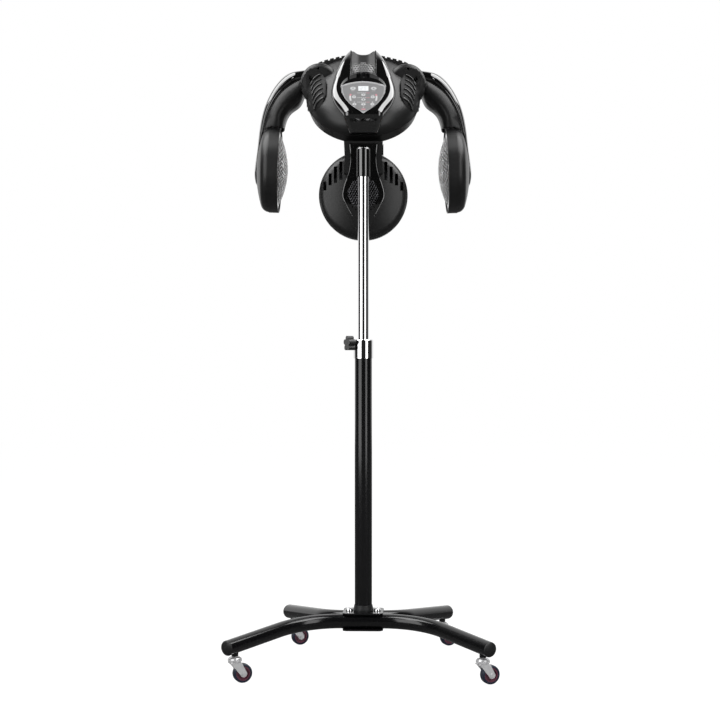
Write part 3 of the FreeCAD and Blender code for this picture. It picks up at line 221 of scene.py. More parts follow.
FINISHES = {
    "black_paint": finish("black_enamel", (0.003, 0.003, 0.0035), (0.005, 0.005, 0.0055), 0.15,
                          0.05, grain=260, bump=0.02),
    "cap_plastic": finish("cap_plastic", (0.006, 0.006, 0.0065), (0.010, 0.010, 0.0105), 0.50, 0.10,
                          grain=1400, bump=0.10, Specular_IOR_Level=0.4),
    "knob_plastic": finish("knob_plastic", (0.007, 0.007, 0.007), (0.011, 0.011, 0.011), 0.34, 0.08,
                           grain=1100, bump=0.04),
    "chrome": finish("chrome_plate", (0.78, 0.78, 0.79), (0.86, 0.86, 0.87), 0.06, 0.03,
                     Metallic=1.0),
    "zinc_steel": finish("zinc_steel", (0.66, 0.66, 0.67), (0.78, 0.78, 0.79), 0.24, 0.10,
                         grain=700, bump=0.03, mark_scale=60.0, Metallic=0.45),
    "steel": finish("turned_steel", (0.50, 0.50, 0.51), (0.60, 0.60, 0.61), 0.30, 0.08,
                    Metallic=1.0),
    "tyre": finish("tyre_tread", (0.007, 0.011, 0.028), (0.012, 0.018, 0.038), 0.45, 0.12,
                   grain=900, bump=0.08),
    "wheel_hub": finish("maroon_hub", (0.11, 0.028, 0.050), (0.15, 0.042, 0.070), 0.30, 0.08),
    "matte_black": finish("soft_black", (0.0055, 0.0055, 0.0055), (0.008, 0.008, 0.008), 0.36, 0.05,
                          grain=1600, bump=0.05, Specular_IOR_Level=0.35),
    "gloss_black": finish("piano_black", (0.002, 0.002, 0.002), (0.003, 0.003, 0.003), 0.07, 0.03,
                          Specular_IOR_Level=0.7, Coat_Weight=1.0, Coat_Roughness=0.03),
    "bezel": finish("bright_bezel", (0.66, 0.66, 0.67), (0.76, 0.76, 0.77), 0.20, 0.05,
                    Metallic=0.3),
    "panel_grey": finish("panel_print", (0.23, 0.23, 0.233), (0.27, 0.27, 0.273), 0.32, 0.05,
                         Specular_IOR_Level=0.35),
    "display": finish("lit_display", (0.82, 0.84, 0.85), (0.88, 0.90, 0.91), 0.12, 0.02,
                      Emission_Color=(0.9, 0.95, 1.0, 1), Emission_Strength=0.15),
    "key_cap": finish("key_cap", (0.62, 0.62, 0.63), (0.70, 0.70, 0.71), 0.28, 0.06),
    "circuit_board": finish("circuit_board", (0.02, 0.11, 0.05), (0.03, 0.14, 0.06), 0.45, 0.05),
    # Painted shade: the polished reflector is made nearly black, as it looks deep inside the lamp.
    "reflector": finish("reflector_painted_shade", (0.08, 0.08, 0.085), (0.12, 0.12, 0.125), 0.35, 0.08,
                        Metallic=1.0),
    "quartz": finish("quartz_tube", (0.45, 0.16, 0.09), (0.55, 0.20, 0.11), 0.12, 0.04),
    # Painted glints and dark reflections: the guard's metal swings at random from black to white.
    "guard_mesh": finish("guard_wire_painted_glints", (0.0, 0.0, 0.0), (1.0, 1.0, 1.0), 0.12, 0.06, grain=120,
                         bump=4.0, mark_scale=140.0, Metallic=1.0),
}
SLOT_OF = {row["node"]: row["material_slot"] for row in frame["record"]["subparts"]}
for node, obj in nodes.items():
    obj.data.materials.clear()
    obj.data.materials.append(FINISHES[SLOT_OF[node]])
print("finishes:", len(FINISHES))

# %% [markdown]
# ## Making a piece
# Each fine form is built as a bmesh and becomes an object at the origin, which rides on one of the
# machine's moving bodies and takes the finish of a slot, unless it is given one of its own. Thin
# sheets get their thickness from a Solidify modifier.

# %% Piece helper
def new_piece(name, bm, body, slot_name, material=None):
    """Turn a finished bmesh into an object that rides on a body."""
    bmesh.ops.recalc_face_normals(bm, faces=bm.faces)
    mesh = bpy.data.meshes.new(name)
    bm.to_mesh(mesh)
    bm.free()
    obj = bpy.data.objects.new(name, mesh)
    bpy.context.scene.collection.objects.link(obj)
    mesh.materials.append(material or FINISHES[slot_name])
    shade(obj)
    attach(obj, body)
    return obj


def solidify(obj, thickness_mm, offset=-1.0):
    """Give a sheet its thickness; offset -1 grows it inward and 0 to both sides."""
    wall = obj.modifiers.new("wall", "SOLIDIFY")
    wall.thickness = thickness_mm * MM
    wall.offset = offset


# %% [markdown]
# ## Six-sided nets
# Lamps and grilles are closed by perforated sheet. Drilling hundreds of holes with booleans would
# be slow and untidy, but such a sheet repeats one cell. One six-sided cell is made, its middle is
# inset and removed, and the cell is copied in staggered rows. Merged, the copies are one net.

# %% Net helper
ROW_STEP = math.sqrt(3) / 2   # from row to row, as a share of the pitch
MERGE_DISTANCE = 0.05


def hex_net(pitch, web, rows, columns, inside):
    """Flat net over the cells whose middles are inside, in millimetres."""
    bm = bmesh.new()
    bmesh.ops.create_circle(bm, cap_ends=True, segments=6, radius=pitch / math.sqrt(3))
    bmesh.ops.inset_individual(bm, faces=list(bm.faces), thickness=web, use_even_offset=True)
    middle = min(bm.faces, key=lambda face: face.calc_center_median().length)
    bmesh.ops.delete(bm, geom=[middle], context="FACES")
    cell = list(bm.verts) + list(bm.edges) + list(bm.faces)
    for row in range(-rows, rows + 1):
        for column in range(-columns, columns + 1):
            x = (column + 0.5 * (row % 2)) * pitch
            y = row * pitch * ROW_STEP
            if (row, column) == (0, 0) or not inside(x, y):
                continue
            copy = bmesh.ops.duplicate(bm, geom=cell)
            verts = [item for item in copy["geom"] if isinstance(item, bmesh.types.BMVert)]
            bmesh.ops.translate(bm, verts=verts, vec=(x, y, 0))
    bmesh.ops.remove_doubles(bm, verts=bm.verts, dist=MERGE_DISTANCE)
    return bm


# %% [markdown]
# ## Lamp guards
# Each lamp is closed by a shallow dome of bright perforated metal. A round net is pushed into a
# dome, and a pressed rim is spun round its edge. Both are made in the lamp's own frame, where
# local Z looks out of the lamp, and are then moved to their place on the machine.

# %% Perforated dome
LAMP_R = 113.0
CROWN_LAMP_R = 111.0
GUARD_MARGIN = 15.0
GUARD_SEAT = 4.0
GUARD_RISE = 20.0
GUARD_T = 1.2
SHELL_WALL = 3.0
CELL_PITCH = 10.0
CELL_WEB = 1.4
RIM_LAP = 6.0                 # how far the rim reaches in over the net
RIM_INNER = 1.0
RIM_OUTER = 4.0
RIM_BEND = 1.2
RIM_LIFT = 0.2
RIM_PLAY = 0.5                # free space between the rim and the lamp's wall
BAND_STEPS = 72


def perforated_sheet(radius):
    """Round net with its rows of holes turned to run up the lamp."""
    rows = int(radius / (CELL_PITCH * ROW_STEP)) + 1
    edge = radius - CELL_PITCH / 2
    bm = hex_net(CELL_PITCH, CELL_WEB, rows, rows + 1, lambda x, y: math.hypot(x, y) <= edge)
    bmesh.ops.rotate(bm, verts=bm.verts, cent=(0, 0, 0),
                     matrix=Matrix.Rotation(math.pi / 6, 3, "Z"))
    return bm


def add_band(bm, profile):
    """Spin an open profile of (radius, height) corners once round the Z axis."""
    start = [bm.verts.new((radius, 0, height)) for radius, height in profile]
    edges = [bm.edges.new(pair) for pair in zip(start, start[1:])]
    bmesh.ops.spin(bm, geom=start + edges, cent=(0, 0, 0), axis=(0, 0, 1), angle=2 * math.pi,
                   steps=BAND_STEPS, use_merge=True)


def guard(radius):
    """Perforated dome with its pressed rim, standing on the lamp's rim plane."""
    base_r = radius - GUARD_MARGIN
    rise = GUARD_RISE + GUARD_SEAT
    low = -GUARD_SEAT
    bm = perforated_sheet(base_r)
    for vert in bm.verts:
        share = min(1.0, vert.co.xy.length / base_r)
        vert.co.z = low + rise * (1 - share ** 2)
    add_band(bm, [(base_r - RIM_LAP, low + rise * (1 - (1 - RIM_LAP / base_r) ** 2)),
                  (base_r - RIM_INNER, low + RIM_BEND),
                  (base_r + RIM_OUTER, low + RIM_LIFT),
                  (radius - SHELL_WALL - RIM_PLAY, low + RIM_LIFT)])
    return bm


def lamp_matrix(centre, look, across):
    """From a local frame in millimetres, with Z along look, to the machine's frame."""
    z = look.normalized()
    x = across.normalized()
    y = z.cross(x)
    turn = Matrix((x, y, z)).transposed().to_4x4()
    return Matrix.Translation(centre * MM) @ turn @ Matrix.Scale(MM, 4)


# %% [markdown]
# ## Where the lamps are
# The crown lamp leans forward, the rear lamp looks straight ahead, and the two side lamps look
# inward and a little down. Each guard takes the place of the engineering model's plain one.

# %% Lamp guards
CROWN_TILT = math.radians(50)
CROWN_BAND = 30.0
CROWN_UP = Vector((0, -math.sin(CROWN_TILT), math.cos(CROWN_TILT)))
CROWN_RIM = Vector((0, 129, 1435.3)) - CROWN_UP * CROWN_BAND
REAR_RIM = Vector((0, 92, 1177.5))
SIDE_RIM = Vector((222, 245, 1265))
SIDE_TILT = math.radians(2)


def side_lamp(sign):
    """Frame of the lamp on one side; the sign is +1 on the right and -1 on the left."""
    centre = Vector((sign * SIDE_RIM.x, SIDE_RIM.y, SIDE_RIM.z))
    look = Vector((-sign * math.cos(SIDE_TILT), 0, -math.sin(SIDE_TILT)))
    return lamp_matrix(centre, look, Vector((0, 1, 0)))


LAMP_PLACES = {
    "crown": (CROWN_LAMP_R, lamp_matrix(CROWN_RIM, -CROWN_UP, Vector((1, 0, 0)))),
    "rear": (LAMP_R, lamp_matrix(REAR_RIM, Vector((0, 1, 0)), Vector((-1, 0, 0)))),
    "right": (LAMP_R, side_lamp(1)),
    "left": (LAMP_R, side_lamp(-1)),
}
GUARD_BODIES = {"crown": "head", "rear": "head", "right": "right_arm", "left": "left_arm"}
for lamp, (radius, matrix) in LAMP_PLACES.items():
    bm = guard(radius)
    bmesh.ops.transform(bm, matrix=matrix, verts=bm.verts)
    piece = new_piece(f"{lamp}_lamp_guard", bm, GUARD_BODIES[lamp], "guard_mesh")
    solidify(piece, GUARD_T, 0.0)
    replaced = "head_guards" if GUARD_BODIES[lamp] == "head" else f"{lamp}_guard"
    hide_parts(replaced)
    print(piece.name, len(piece.data.polygons), "faces")

# %% [markdown]
# ## Laying pieces on the mouldings
# Some details follow a curved moulding: the louvres on the shoulders, the grilles in the console
# and on the rear arm, and the bands on the side arms. They are made flat, and then each of their
# points is sent straight back along +Y until it meets the moulding. A lift keeps them proud of it.

# %% Projection helper
RAY_START_Y = -0.5            # well in front of the machine, in metres


def surface_of(*names):
    """Ray-cast tree over one or more engineering pieces."""
    joined = bmesh.new()
    for name in names:
        joined.from_mesh(nodes[name].data)
    return BVHTree.FromBMesh(joined)


def front_of(surface, x, z, reach=(0,)):
    """Nearest place to the operator within a reach above and below, so that slots are bridged."""
    hits = [surface.ray_cast(Vector((x, RAY_START_Y, z + rise * MM)), Vector((0, 1, 0)))
            for rise in reach]
    hits = [hit for hit in hits if hit[0] is not None]
    return min(hits, key=lambda hit: hit[0].y) if hits else None


def lay_on(bm, surface, lift, reach=(0,), across=None):
    """Send every point back to the surface, less its own height towards the operator.

    Across is the X at which a moulding that is straight from side to side is felt.
    """
    lost = []
    for vert in bm.verts:
        felt = vert.co.x if across is None else across
        hit = front_of(surface, felt, vert.co.z, reach)
        if hit is None:
            lost.append(vert)
            continue
        vert.co = Vector((vert.co.x, hit[0].y + vert.co.y, vert.co.z)) + hit[1] * (lift * MM)
    if lost:
        bmesh.ops.delete(bm, geom=lost, context="VERTS")


# %% [markdown]
# ## Shoulder gills
# Both shoulders breathe through an oval recess with six bent louvres. The recess is a patch
# that is laid over the shoulder's slots and smoothed; it is blacker and duller than the shoulder,
# which is painted shade of the recess. A louvre is one short edge spun about the middle of its
# bend, and it is laid on the recess.

# %% Gills
GILL_COUNT = 6
GILL_MIDDLE = (-101.0, 1459.0)
GILL_PITCH = 13.6
GILL_LEAN = 2.0
GILL_BEND = 34.0
GILL_HALF = 1.5
GILL_FROM = math.radians(105)
GILL_TO = math.radians(172)
GILL_STEPS = 14
LOUVRE_T = 2.6
RECESS_MIDDLE = (-128.0, 1450.0)
RECESS_REACH = (35.0, 60.0)
RECESS_GRID = (28, 44)
RECESS_ROUNDS = 6             # rounds of smoothing
RECESS_LIFT = 0.6
SLOT_REACH = (-10, -7, -4, 0, 4, 7, 10)


def gill(bm, x, z):
    """One bent louvre in the XZ plane."""
    before = set(bm.verts)
    inner = bm.verts.new(((GILL_BEND - GILL_HALF) * MM, 0, 0))
    outer = bm.verts.new(((GILL_BEND + GILL_HALF) * MM, 0, 0))
    edge = bm.edges.new((inner, outer))
    bmesh.ops.rotate(bm, verts=[inner, outer], cent=(0, 0, 0),
                     matrix=Matrix.Rotation(-GILL_FROM, 3, "Y"))
    bmesh.ops.spin(bm, geom=[inner, outer, edge], cent=(0, 0, 0), axis=(0, -1, 0),
                   angle=GILL_TO - GILL_FROM, steps=GILL_STEPS)
    made = [vert for vert in bm.verts if vert not in before]
    bmesh.ops.translate(bm, verts=made, vec=point(x, 0, z))


def gill_set(side):
    """The louvres of the left shoulder, or their mirror image for the right one."""
    bm = bmesh.new()
    for i in range(GILL_COUNT):
        gill(bm, GILL_MIDDLE[0] + GILL_LEAN * i, GILL_MIDDLE[1] - GILL_PITCH * i)
    if side == "right":
        bmesh.ops.mirror(bm, geom=list(bm.verts) + list(bm.edges) + list(bm.faces), axis="X",
                         merge_dist=-1)
        bmesh.ops.delete(bm, geom=[v for v in bm.verts if v.co.x < 0], context="VERTS")
    return bm


def recess_patch(side):
    """Upright oval grid at one shoulder."""
    bm = bmesh.new()
    bmesh.ops.create_grid(bm, x_segments=RECESS_GRID[0], y_segments=RECESS_GRID[1], size=1.0)
    bmesh.ops.delete(bm, geom=[v for v in bm.verts if v.co.xy.length > 1.0], context="VERTS")
    wide, high = RECESS_REACH
    bmesh.ops.scale(bm, verts=bm.verts, vec=(wide * MM, high * MM, 1))
    bmesh.ops.rotate(bm, verts=bm.verts, cent=(0, 0, 0),
                     matrix=Matrix.Rotation(math.radians(90), 3, "X"))
    sign = 1 if side == "right" else -1
    middle = point(-sign * RECESS_MIDDLE[0], 0, RECESS_MIDDLE[1])
    bmesh.ops.translate(bm, verts=bm.verts, vec=middle)
    return bm


# Painted shade: the recess patch is blacker and duller than the shoulder's own black.
RECESS_SHADE_FINISH = finish("recess_painted_shade", (0.0015, 0.0015, 0.0015), (0.003, 0.003, 0.003), 0.55, 0.05,
                       grain=1400, bump=0.05, Specular_IOR_Level=0.2)
LOUVRE_FINISH = finish("louvre_black", (0.010, 0.010, 0.010), (0.016, 0.016, 0.016), 0.22, 0.05)
crown_surface = surface_of("crown_shell")
for side in ("left", "right"):
    bm = recess_patch(side)
    lay_on(bm, crown_surface, 0.0, SLOT_REACH)
    for _ in range(RECESS_ROUNDS):
        bmesh.ops.smooth_vert(bm, verts=bm.verts, factor=0.5, use_axis_y=True)
    bmesh.ops.translate(bm, verts=bm.verts, vec=(0, -RECESS_LIFT * MM, 0))
    bed = BVHTree.FromBMesh(bm)
    new_piece(f"{side}_gill_recess", bm, "head", "matte_black", RECESS_SHADE_FINISH)
    bm = gill_set(side)
    lay_on(bm, bed, LOUVRE_T)
    bars = new_piece(f"{side}_gill_louvres", bm, "head", "matte_black", LOUVRE_FINISH)
    solidify(bars, LOUVRE_T)
    print(bars.name, len(bars.data.polygons), "faces")

# %% [markdown]
# ## The panel's frame
# The keypad panel leans back, so what lies on it is placed in the panel's own frame: local X runs
# across the panel, local Y up along it and local Z out of it.

# %% Panel frame
PANEL_CENTRE = Vector((0, -2, 1415))
PANEL_TILT = math.radians(40)
PANEL_OUT = Vector((0, -math.cos(PANEL_TILT), math.sin(PANEL_TILT)))
PANEL_MATRIX = lamp_matrix(PANEL_CENTRE, PANEL_OUT, Vector((1, 0, 0)))
print("panel leans back", round(math.degrees(PANEL_TILT)), "degrees")

# %% [markdown]
# ## Liner of the hollow
# Between the console's two horns is a hollow. A thin satin liner covers its polish, from the rim of
# the round dish above the panel up to the saddle between the horns, so that nothing bright is
# mirrored behind the grille.

# %% Hollow liner
HOLLOW_HALF_W = 32.5
SADDLE_LOW = 1550.0
SADDLE_RISE = 12.0
DISH_MIDDLE = 31.5            # up the panel from its centre
DISH_RIM = 60.5
RIM_CLEARANCE = 1.5
LINER_GRID = (24, 30)
LINER_LIFT = 0.5
LINER_T = 0.3
LINER_FINISH = finish("hollow_satin", (0.004, 0.004, 0.004), (0.006, 0.006, 0.006), 0.42, 0.05,
                      grain=1400, bump=0.03, Specular_IOR_Level=0.3)


def dish_top(x):
    """How far up the panel from its centre the dish's rim lies, at a distance across."""
    return DISH_MIDDLE + math.sqrt(DISH_RIM ** 2 - x ** 2)


bm = bmesh.new()
bmesh.ops.create_grid(bm, x_segments=LINER_GRID[0], y_segments=LINER_GRID[1], size=1.0)
for vert in bm.verts:
    x = vert.co.x * HOLLOW_HALF_W
    low = PANEL_CENTRE.z + dish_top(x) * math.cos(PANEL_TILT) + RIM_CLEARANCE
    top = SADDLE_LOW + SADDLE_RISE * vert.co.x ** 2
    vert.co = point(x, 0, low + (top - low) * (vert.co.y + 1) / 2)
lay_on(bm, surface_of("console_frame"), LINER_LIFT)
liner = new_piece("console_hollow_liner", bm, "head", "gloss_black", LINER_FINISH)
solidify(liner, LINER_T)
print(liner.name, len(liner.data.polygons), "faces")

# %% [markdown]
# ## Grilles
# The hollow and the middle of the rear arm's cover are perforated. The same six-sided net as on the
# lamps, in a finer cell, is cut to an oval and laid on both. The cover has air holes, so its
# surface is felt along one line that none of them crosses.

# %% Console and rear grilles
VENT_FREE_X = 2.7             # a line up the cover that no air hole crosses
# pitch, web, half width, half height and the height of the middle
CONSOLE_NET = (7.0, 1.3, 33, 19, 1502)
REAR_NET = (6.5, 1.2, 37, 39, 1177.5)
DARK_CHROME = finish("dark_chrome", (0.030, 0.030, 0.032), (0.10, 0.10, 0.105), 0.12, 0.05,
                     grain=160, bump=0.8, mark_scale=90.0, Metallic=1.0)


def grille(name, moulding, net, lift, thickness, across=None, material=None):
    """Oval net on a moulding; net is its pitch, web, half width, half height and height."""
    pitch, web, half_w, half_h, height = net
    rows = int(half_h / (pitch * ROW_STEP)) + 1
    columns = int(half_w / pitch) + 1
    bm = hex_net(pitch, web, rows, columns,
                 lambda x, y: (x / half_w) ** 2 + (y / half_h) ** 2 < 1)
    upright = (Matrix.Translation(point(0, 0, height))
               @ Matrix.Rotation(math.radians(90), 4, "X") @ Matrix.Scale(MM, 4))
    bmesh.ops.transform(bm, matrix=upright, verts=bm.verts)
    lay_on(bm, surface_of(moulding), lift, across=across)
    piece = new_piece(name, bm, "head", "gloss_black", material)
    solidify(piece, thickness)
    print(piece.name, len(piece.data.polygons), "faces")


grille("console_grille", "console_frame", CONSOLE_NET, lift=2.0, thickness=1.6)
grille("rear_cover_grille", "rear_arm_cover", REAR_NET, lift=0.9, thickness=1.4,
       across=VENT_FREE_X * MM, material=DARK_CHROME)

# %% [markdown]
# ## Edge bead of the rear cover
# A fine rounded bead runs down both edges of the rear arm's cover and shows as a bright line. It
# is a thin round curve through a few points, made a mesh.

# %% Cover beads
COVER_EDGE = ((34.0, 1300.0), (33.5, 1294.0), (30.5, 1264.0), (34.5, 1232.0), (47.0, 1200.0),
              (52.8, 1176.0), (49.5, 1160.0), (27.5, 1121.0))
BEAD_R = 1.1
BEAD_LIFT = 0.3


def bead(name, points, body, slot_name):
    """Round bead along a smooth line through the points."""
    curve = bpy.data.curves.new(name, "CURVE")
    curve.dimensions = "3D"
    curve.bevel_depth = BEAD_R * MM
    curve.bevel_resolution = 3
    curve.use_fill_caps = True
    spline = curve.splines.new("NURBS")
    spline.points.add(len(points) - 1)
    for knot, place in zip(spline.points, points):
        knot.co = (*place, 1)
    spline.order_u = 3
    spline.use_endpoint_u = True
    carrier = bpy.data.objects.new(name, curve)
    bm = bmesh.new()
    bm.from_mesh(bpy.data.meshes.new_from_object(carrier))
    bpy.data.objects.remove(carrier)
    return new_piece(name, bm, body, slot_name)


cover_surface = surface_of("rear_arm_cover")
for side, sign in (("left", -1), ("right", 1)):
    line = []
    for x, z in COVER_EDGE:
        hit = front_of(cover_surface, VENT_FREE_X * MM, z * MM)
        line.append(Vector((sign * x * MM, hit[0].y - BEAD_LIFT * MM, z * MM)))
    made = bead(f"{side}_cover_bead", line, "head", "gloss_black")
    print(made.name, len(made.data.polygons), "faces")

# %% [markdown]
# ## Bead of the dish
# The same bead runs along the upper part of the dish's ridge. Its points start on an arc above the
# panel, and each goes to the nearest place on the console.

# %% Dish bead
DISH_RIDGE_MIDDLE = 59.0
ABOVE_PANEL = 6.0
DISH_BEAD_DEGREES = range(55, 126, 10)
console_surface = surface_of("console_frame")
rim = []
for degrees in DISH_BEAD_DEGREES:
    turn = math.radians(degrees)
    above = Vector((DISH_RIDGE_MIDDLE * math.cos(turn),
                    DISH_MIDDLE + DISH_RIDGE_MIDDLE * math.sin(turn), ABOVE_PANEL))
    rim.append(console_surface.find_nearest(PANEL_MATRIX @ above)[0])
made = bead("console_dish_bead", rim, "head", "gloss_black")
print(made.name, "lowest point", round(min(place.z for place in rim), 4))

# %% [markdown]
# ## Arm faces
# Each swinging arm shows two crowned bands to the front: a narrow gloss one along the outside of
# the bend and a broad matte one beside it, which ends higher up. A band is a grid that is stretched
# along the arm, crowned in the middle and laid on the arm's front.

# %% Arm bands
# outer and inner edge of the arm's face, from the shoulder down, as (X, Z)
ARM_EDGES = (((158.0, 1538.0), (142.0, 1457.0)), ((198.0, 1518.0), (165.0, 1445.0)),
             ((236.0, 1483.0), (186.0, 1424.0)),
             ((262.0, 1431.0), (203.0, 1402.0)), ((275.0, 1376.0), (213.0, 1362.0)),
             ((283.0, 1308.0), (226.0, 1306.0)), ((289.0, 1255.0), (238.0, 1255.0)))
OUTER_LINE = [Vector((outer[0], 0, outer[1])) for outer, _ in ARM_EDGES]
INNER_LINE = [Vector((inner[0], 0, inner[1])) for _, inner in ARM_EDGES]
GLOSS_DEPTHS = (32.0, 30.0, 25.0, 18.0, 14.0, 11.0, 9.0)   # the gloss band's width at each
BAND_GRID = (64, 14)
BAND_GAP = 1.5
BAND_INSET = 2.0
BAND_LIFT = 0.2
BAND_T = 0.8
FADE = 0.12                   # share of the arm over which a band's crown fades out
# crown height, how far down the arm the band runs, finish
BANDS = {"gloss": (5.0, 1.0, "gloss_black"), "matte": (9.0, 0.68, "matte_black")}


def eased(knots, share):
    """Value on a smooth line through evenly spaced knots."""
    place = min(share * (len(knots) - 1), len(knots) - 1.001)   # just short of the last knot
    i = int(place)
    t = place - i
    a, b, c, d = (knots[min(max(j, 0), len(knots) - 1)] for j in range(i - 1, i + 3))
    return 0.5 * (2 * b + (c - a) * t + (2 * a - 5 * b + 4 * c - d) * t ** 2
                  + (3 * b - a - 3 * c + d) * t ** 3)


def arm_band(sign, kind, crown, until):
    """Crowned band between two depths from the arm's outer edge."""
    bm = bmesh.new()
    bmesh.ops.create_grid(bm, x_segments=BAND_GRID[0], y_segments=BAND_GRID[1], size=0.5)
    for vert in bm.verts:
        along = (vert.co.x + 0.5) * until
        across = vert.co.y + 0.5
        outer = eased(OUTER_LINE, along)
        inner = eased(INNER_LINE, along)
        seam = eased(GLOSS_DEPTHS, along)
        width = (inner - outer).length
        start, end = BAND_INSET, seam
        if kind == "matte":
            start, end = seam + BAND_GAP, width - BAND_INSET
        place = outer + (inner - outer) / width * (start + (end - start) * across)
        fade = min(1.0, along / FADE, (until - along) / FADE)
        height = crown * 4 * across * (1 - across) * fade
        vert.co = point(sign * place.x, -height, place.z)
    return bm


for side, sign in (("left", -1), ("right", 1)):
    arm_surface = surface_of(f"{side}_arm_shell", f"{side}_arm_cover")
    for kind, (crown, until, slot_name) in BANDS.items():
        bm = arm_band(sign, kind, crown, until)
        lay_on(bm, arm_surface, BAND_LIFT)
        band = new_piece(f"{side}_arm_{kind}_band", bm, f"{side}_arm", slot_name)
        solidify(band, BAND_T)
        print(band.name, len(band.data.polygons), "faces")

# %% [markdown]
# ## Raised pads
# The flat grey keypad carries rows of small lights, two bent level bars and a few marks. They are
# printed and moulded a hair proud of the plate, so each is a thin pad in the panel's own frame.

# %% Pad helpers
PAD_H = 0.25
PAD_FOOT = 0.02               # a pad starts this far above the plate
ROUND = 20                    # corners of a round pad
MIDDLE_BAND = 0.001           # corners this near a pad's middle line stay on it
BAR_R = 48.0
BAR_HALF = 2.2
BAR_STEPS = 8
BAR_SHIFT = -15.0
PRINT_WHITE = finish("print_white", (0.62, 0.62, 0.62), (0.70, 0.70, 0.70), 0.4, 0.05)
PRINT_PINK = finish("print_pink", (0.62, 0.24, 0.28), (0.70, 0.30, 0.34), 0.4, 0.05)
PRINT_DARK = finish("print_dark", (0.03, 0.03, 0.035), (0.05, 0.05, 0.055), 0.4, 0.05)


def raise_pad(bm, faces, height=PAD_H):
    """Raise flat faces to a pad's height."""
    grown = bmesh.ops.extrude_face_region(bm, geom=faces)
    top = [item for item in grown["geom"] if isinstance(item, bmesh.types.BMVert)]
    bmesh.ops.translate(bm, verts=top, vec=(0, 0, height))


def pad(bm, x, y, width, height, segments=ROUND, z=PAD_FOOT):
    """Round pad, drawn out to a pill where its width and height differ."""
    made = bmesh.ops.create_circle(bm, cap_ends=True, segments=segments,
                                   radius=min(width, height) / 2)
    slack = (max(width, height) - min(width, height)) / 2
    for vert in made["verts"]:
        along = 0 if width > height else 1
        if vert.co[along] > MIDDLE_BAND:
            vert.co[along] += slack
        elif vert.co[along] < -MIDDLE_BAND:
            vert.co[along] -= slack
    bmesh.ops.translate(bm, verts=made["verts"], vec=(x, y, z))
    raise_pad(bm, [face for face in bm.faces if set(face.verts) == set(made["verts"])])


def level_bar(bm, side, low, high):
    """Bent bar beside the keys, between two heights."""
    angle_low = math.asin(low / BAR_R)
    angle_high = math.asin(high / BAR_R)
    before = set(bm.faces)
    inner = bm.verts.new((BAR_R - BAR_HALF, 0, PAD_FOOT))
    outer = bm.verts.new((BAR_R + BAR_HALF, 0, PAD_FOOT))
    edge = bm.edges.new((inner, outer))
    bmesh.ops.rotate(bm, verts=[inner, outer], cent=(0, 0, 0),
                     matrix=Matrix.Rotation(angle_low, 3, "Z"))
    bmesh.ops.spin(bm, geom=[inner, outer, edge], cent=(0, 0, 0), axis=(0, 0, 1),
                   angle=angle_high - angle_low, steps=BAR_STEPS)
    raise_pad(bm, [face for face in bm.faces if face not in before])
    grown = list({vert for face in bm.faces if face not in before for vert in face.verts})
    bmesh.ops.translate(bm, verts=grown, vec=(BAR_SHIFT, 0, 0))
    if side < 0:
        for vert in grown:
            vert.co.x = -vert.co.x


def panel_piece(name, bm, slot_name, material, body="head"):
    """Move a piece from the panel's frame to its place and make it an object."""
    bmesh.ops.transform(bm, matrix=PANEL_MATRIX, verts=bm.verts)
    return new_piece(name, bm, body, slot_name, material)


# %% [markdown]
# ## Printed marks
# Three rows of lights run across the panel, five white ones and two pink ones in each. Beside the
# keys stand the level bars, white below and pink on top, and each group of keys has its own mark.

# %% Keypad print
LIGHT_ROWS = (17.2, -1.0, -18.6)
LIGHT_XS = (-13.5, -9.0, -4.5, 0.0, 4.5)
PINK_XS = (9.0, 13.5)
LIGHT_SHAPE = (3.0, 2.0, 12)
WHITE_LEVEL = (-13.0, 6.0)
PINK_LEVEL = (6.5, 12.5)
# X, Y, width, height and corners of the marks that stand on both sides
SIDE_MARKS = ((22.4, -18.2, 3.2, 3.2, ROUND), (22.4, -35.0, 8.0, 0.9, 8),
              (23.4, 8.6, 8.0, 0.9, 8), (26.0, 25.4, 10.0, 0.9, 8))
LOWER_MARK = (0, -37.4, 3.2, 3.2)
SWITCH_MARK = (0, -45.6, 11.0, 4.2)
white = bmesh.new()
pink = bmesh.new()
for y in LIGHT_ROWS:
    for x in LIGHT_XS:
        pad(white, x, y, *LIGHT_SHAPE)
    for x in PINK_XS:
        pad(pink, x, y, *LIGHT_SHAPE)
for side in (-1, 1):
    level_bar(white, side, *WHITE_LEVEL)
    level_bar(pink, side, *PINK_LEVEL)
    for x, y, *shape in SIDE_MARKS:
        pad(white, side * x, y, *shape)
pad(white, *LOWER_MARK)
pad(pink, *SWITCH_MARK)
for name, bm, material in (("keypad_print_white", white, PRINT_WHITE),
                           ("keypad_print_pink", pink, PRINT_PINK)):
    piece = panel_piece(name, bm, "panel_grey", material)
    print(piece.name, len(piece.data.polygons), "faces")

# %% [markdown]
# ## Key signs
# Six keys carry a small arrow and three carry a round dot. Each sign rides on its own key, so it
# goes in with the key when that is pressed.

# %% Key signs
KEY_TOP = 1.0
ARROW_R = 1.7
ARROW_H = 0.15
DOT_SHAPE = (3.0, 3.0, 16)
# X, Y and the direction of the arrow in degrees
KEY_ARROWS = {"key_centre_upper": (0, 9.5, 90), "key_centre_lower": (0, -27.5, -90),
              "key_left_upper": (-23.4, 1, 180), "key_right_upper": (23.4, 1, 0),
              "key_left_lower": (-22.4, -27, 180), "key_right_lower": (22.4, -27, 0)}
KEY_DOTS = {"key_top_left": (-26.0, 34.5), "key_top_right": (26.0, 34.5),
            "key_centre_middle": (0.0, -9.0)}
for key, (x, y, turn) in KEY_ARROWS.items():
    bm = bmesh.new()
    bmesh.ops.create_circle(bm, cap_ends=True, segments=3, radius=ARROW_R)
    bmesh.ops.rotate(bm, verts=bm.verts, cent=(0, 0, 0),
                     matrix=Matrix.Rotation(math.radians(turn - 90), 3, "Z"))
    bmesh.ops.translate(bm, verts=bm.verts, vec=(x, y, KEY_TOP + PAD_FOOT))
    raise_pad(bm, list(bm.faces), ARROW_H)
    panel_piece(f"{key}_sign", bm, "key_cap", PRINT_DARK, body=key)
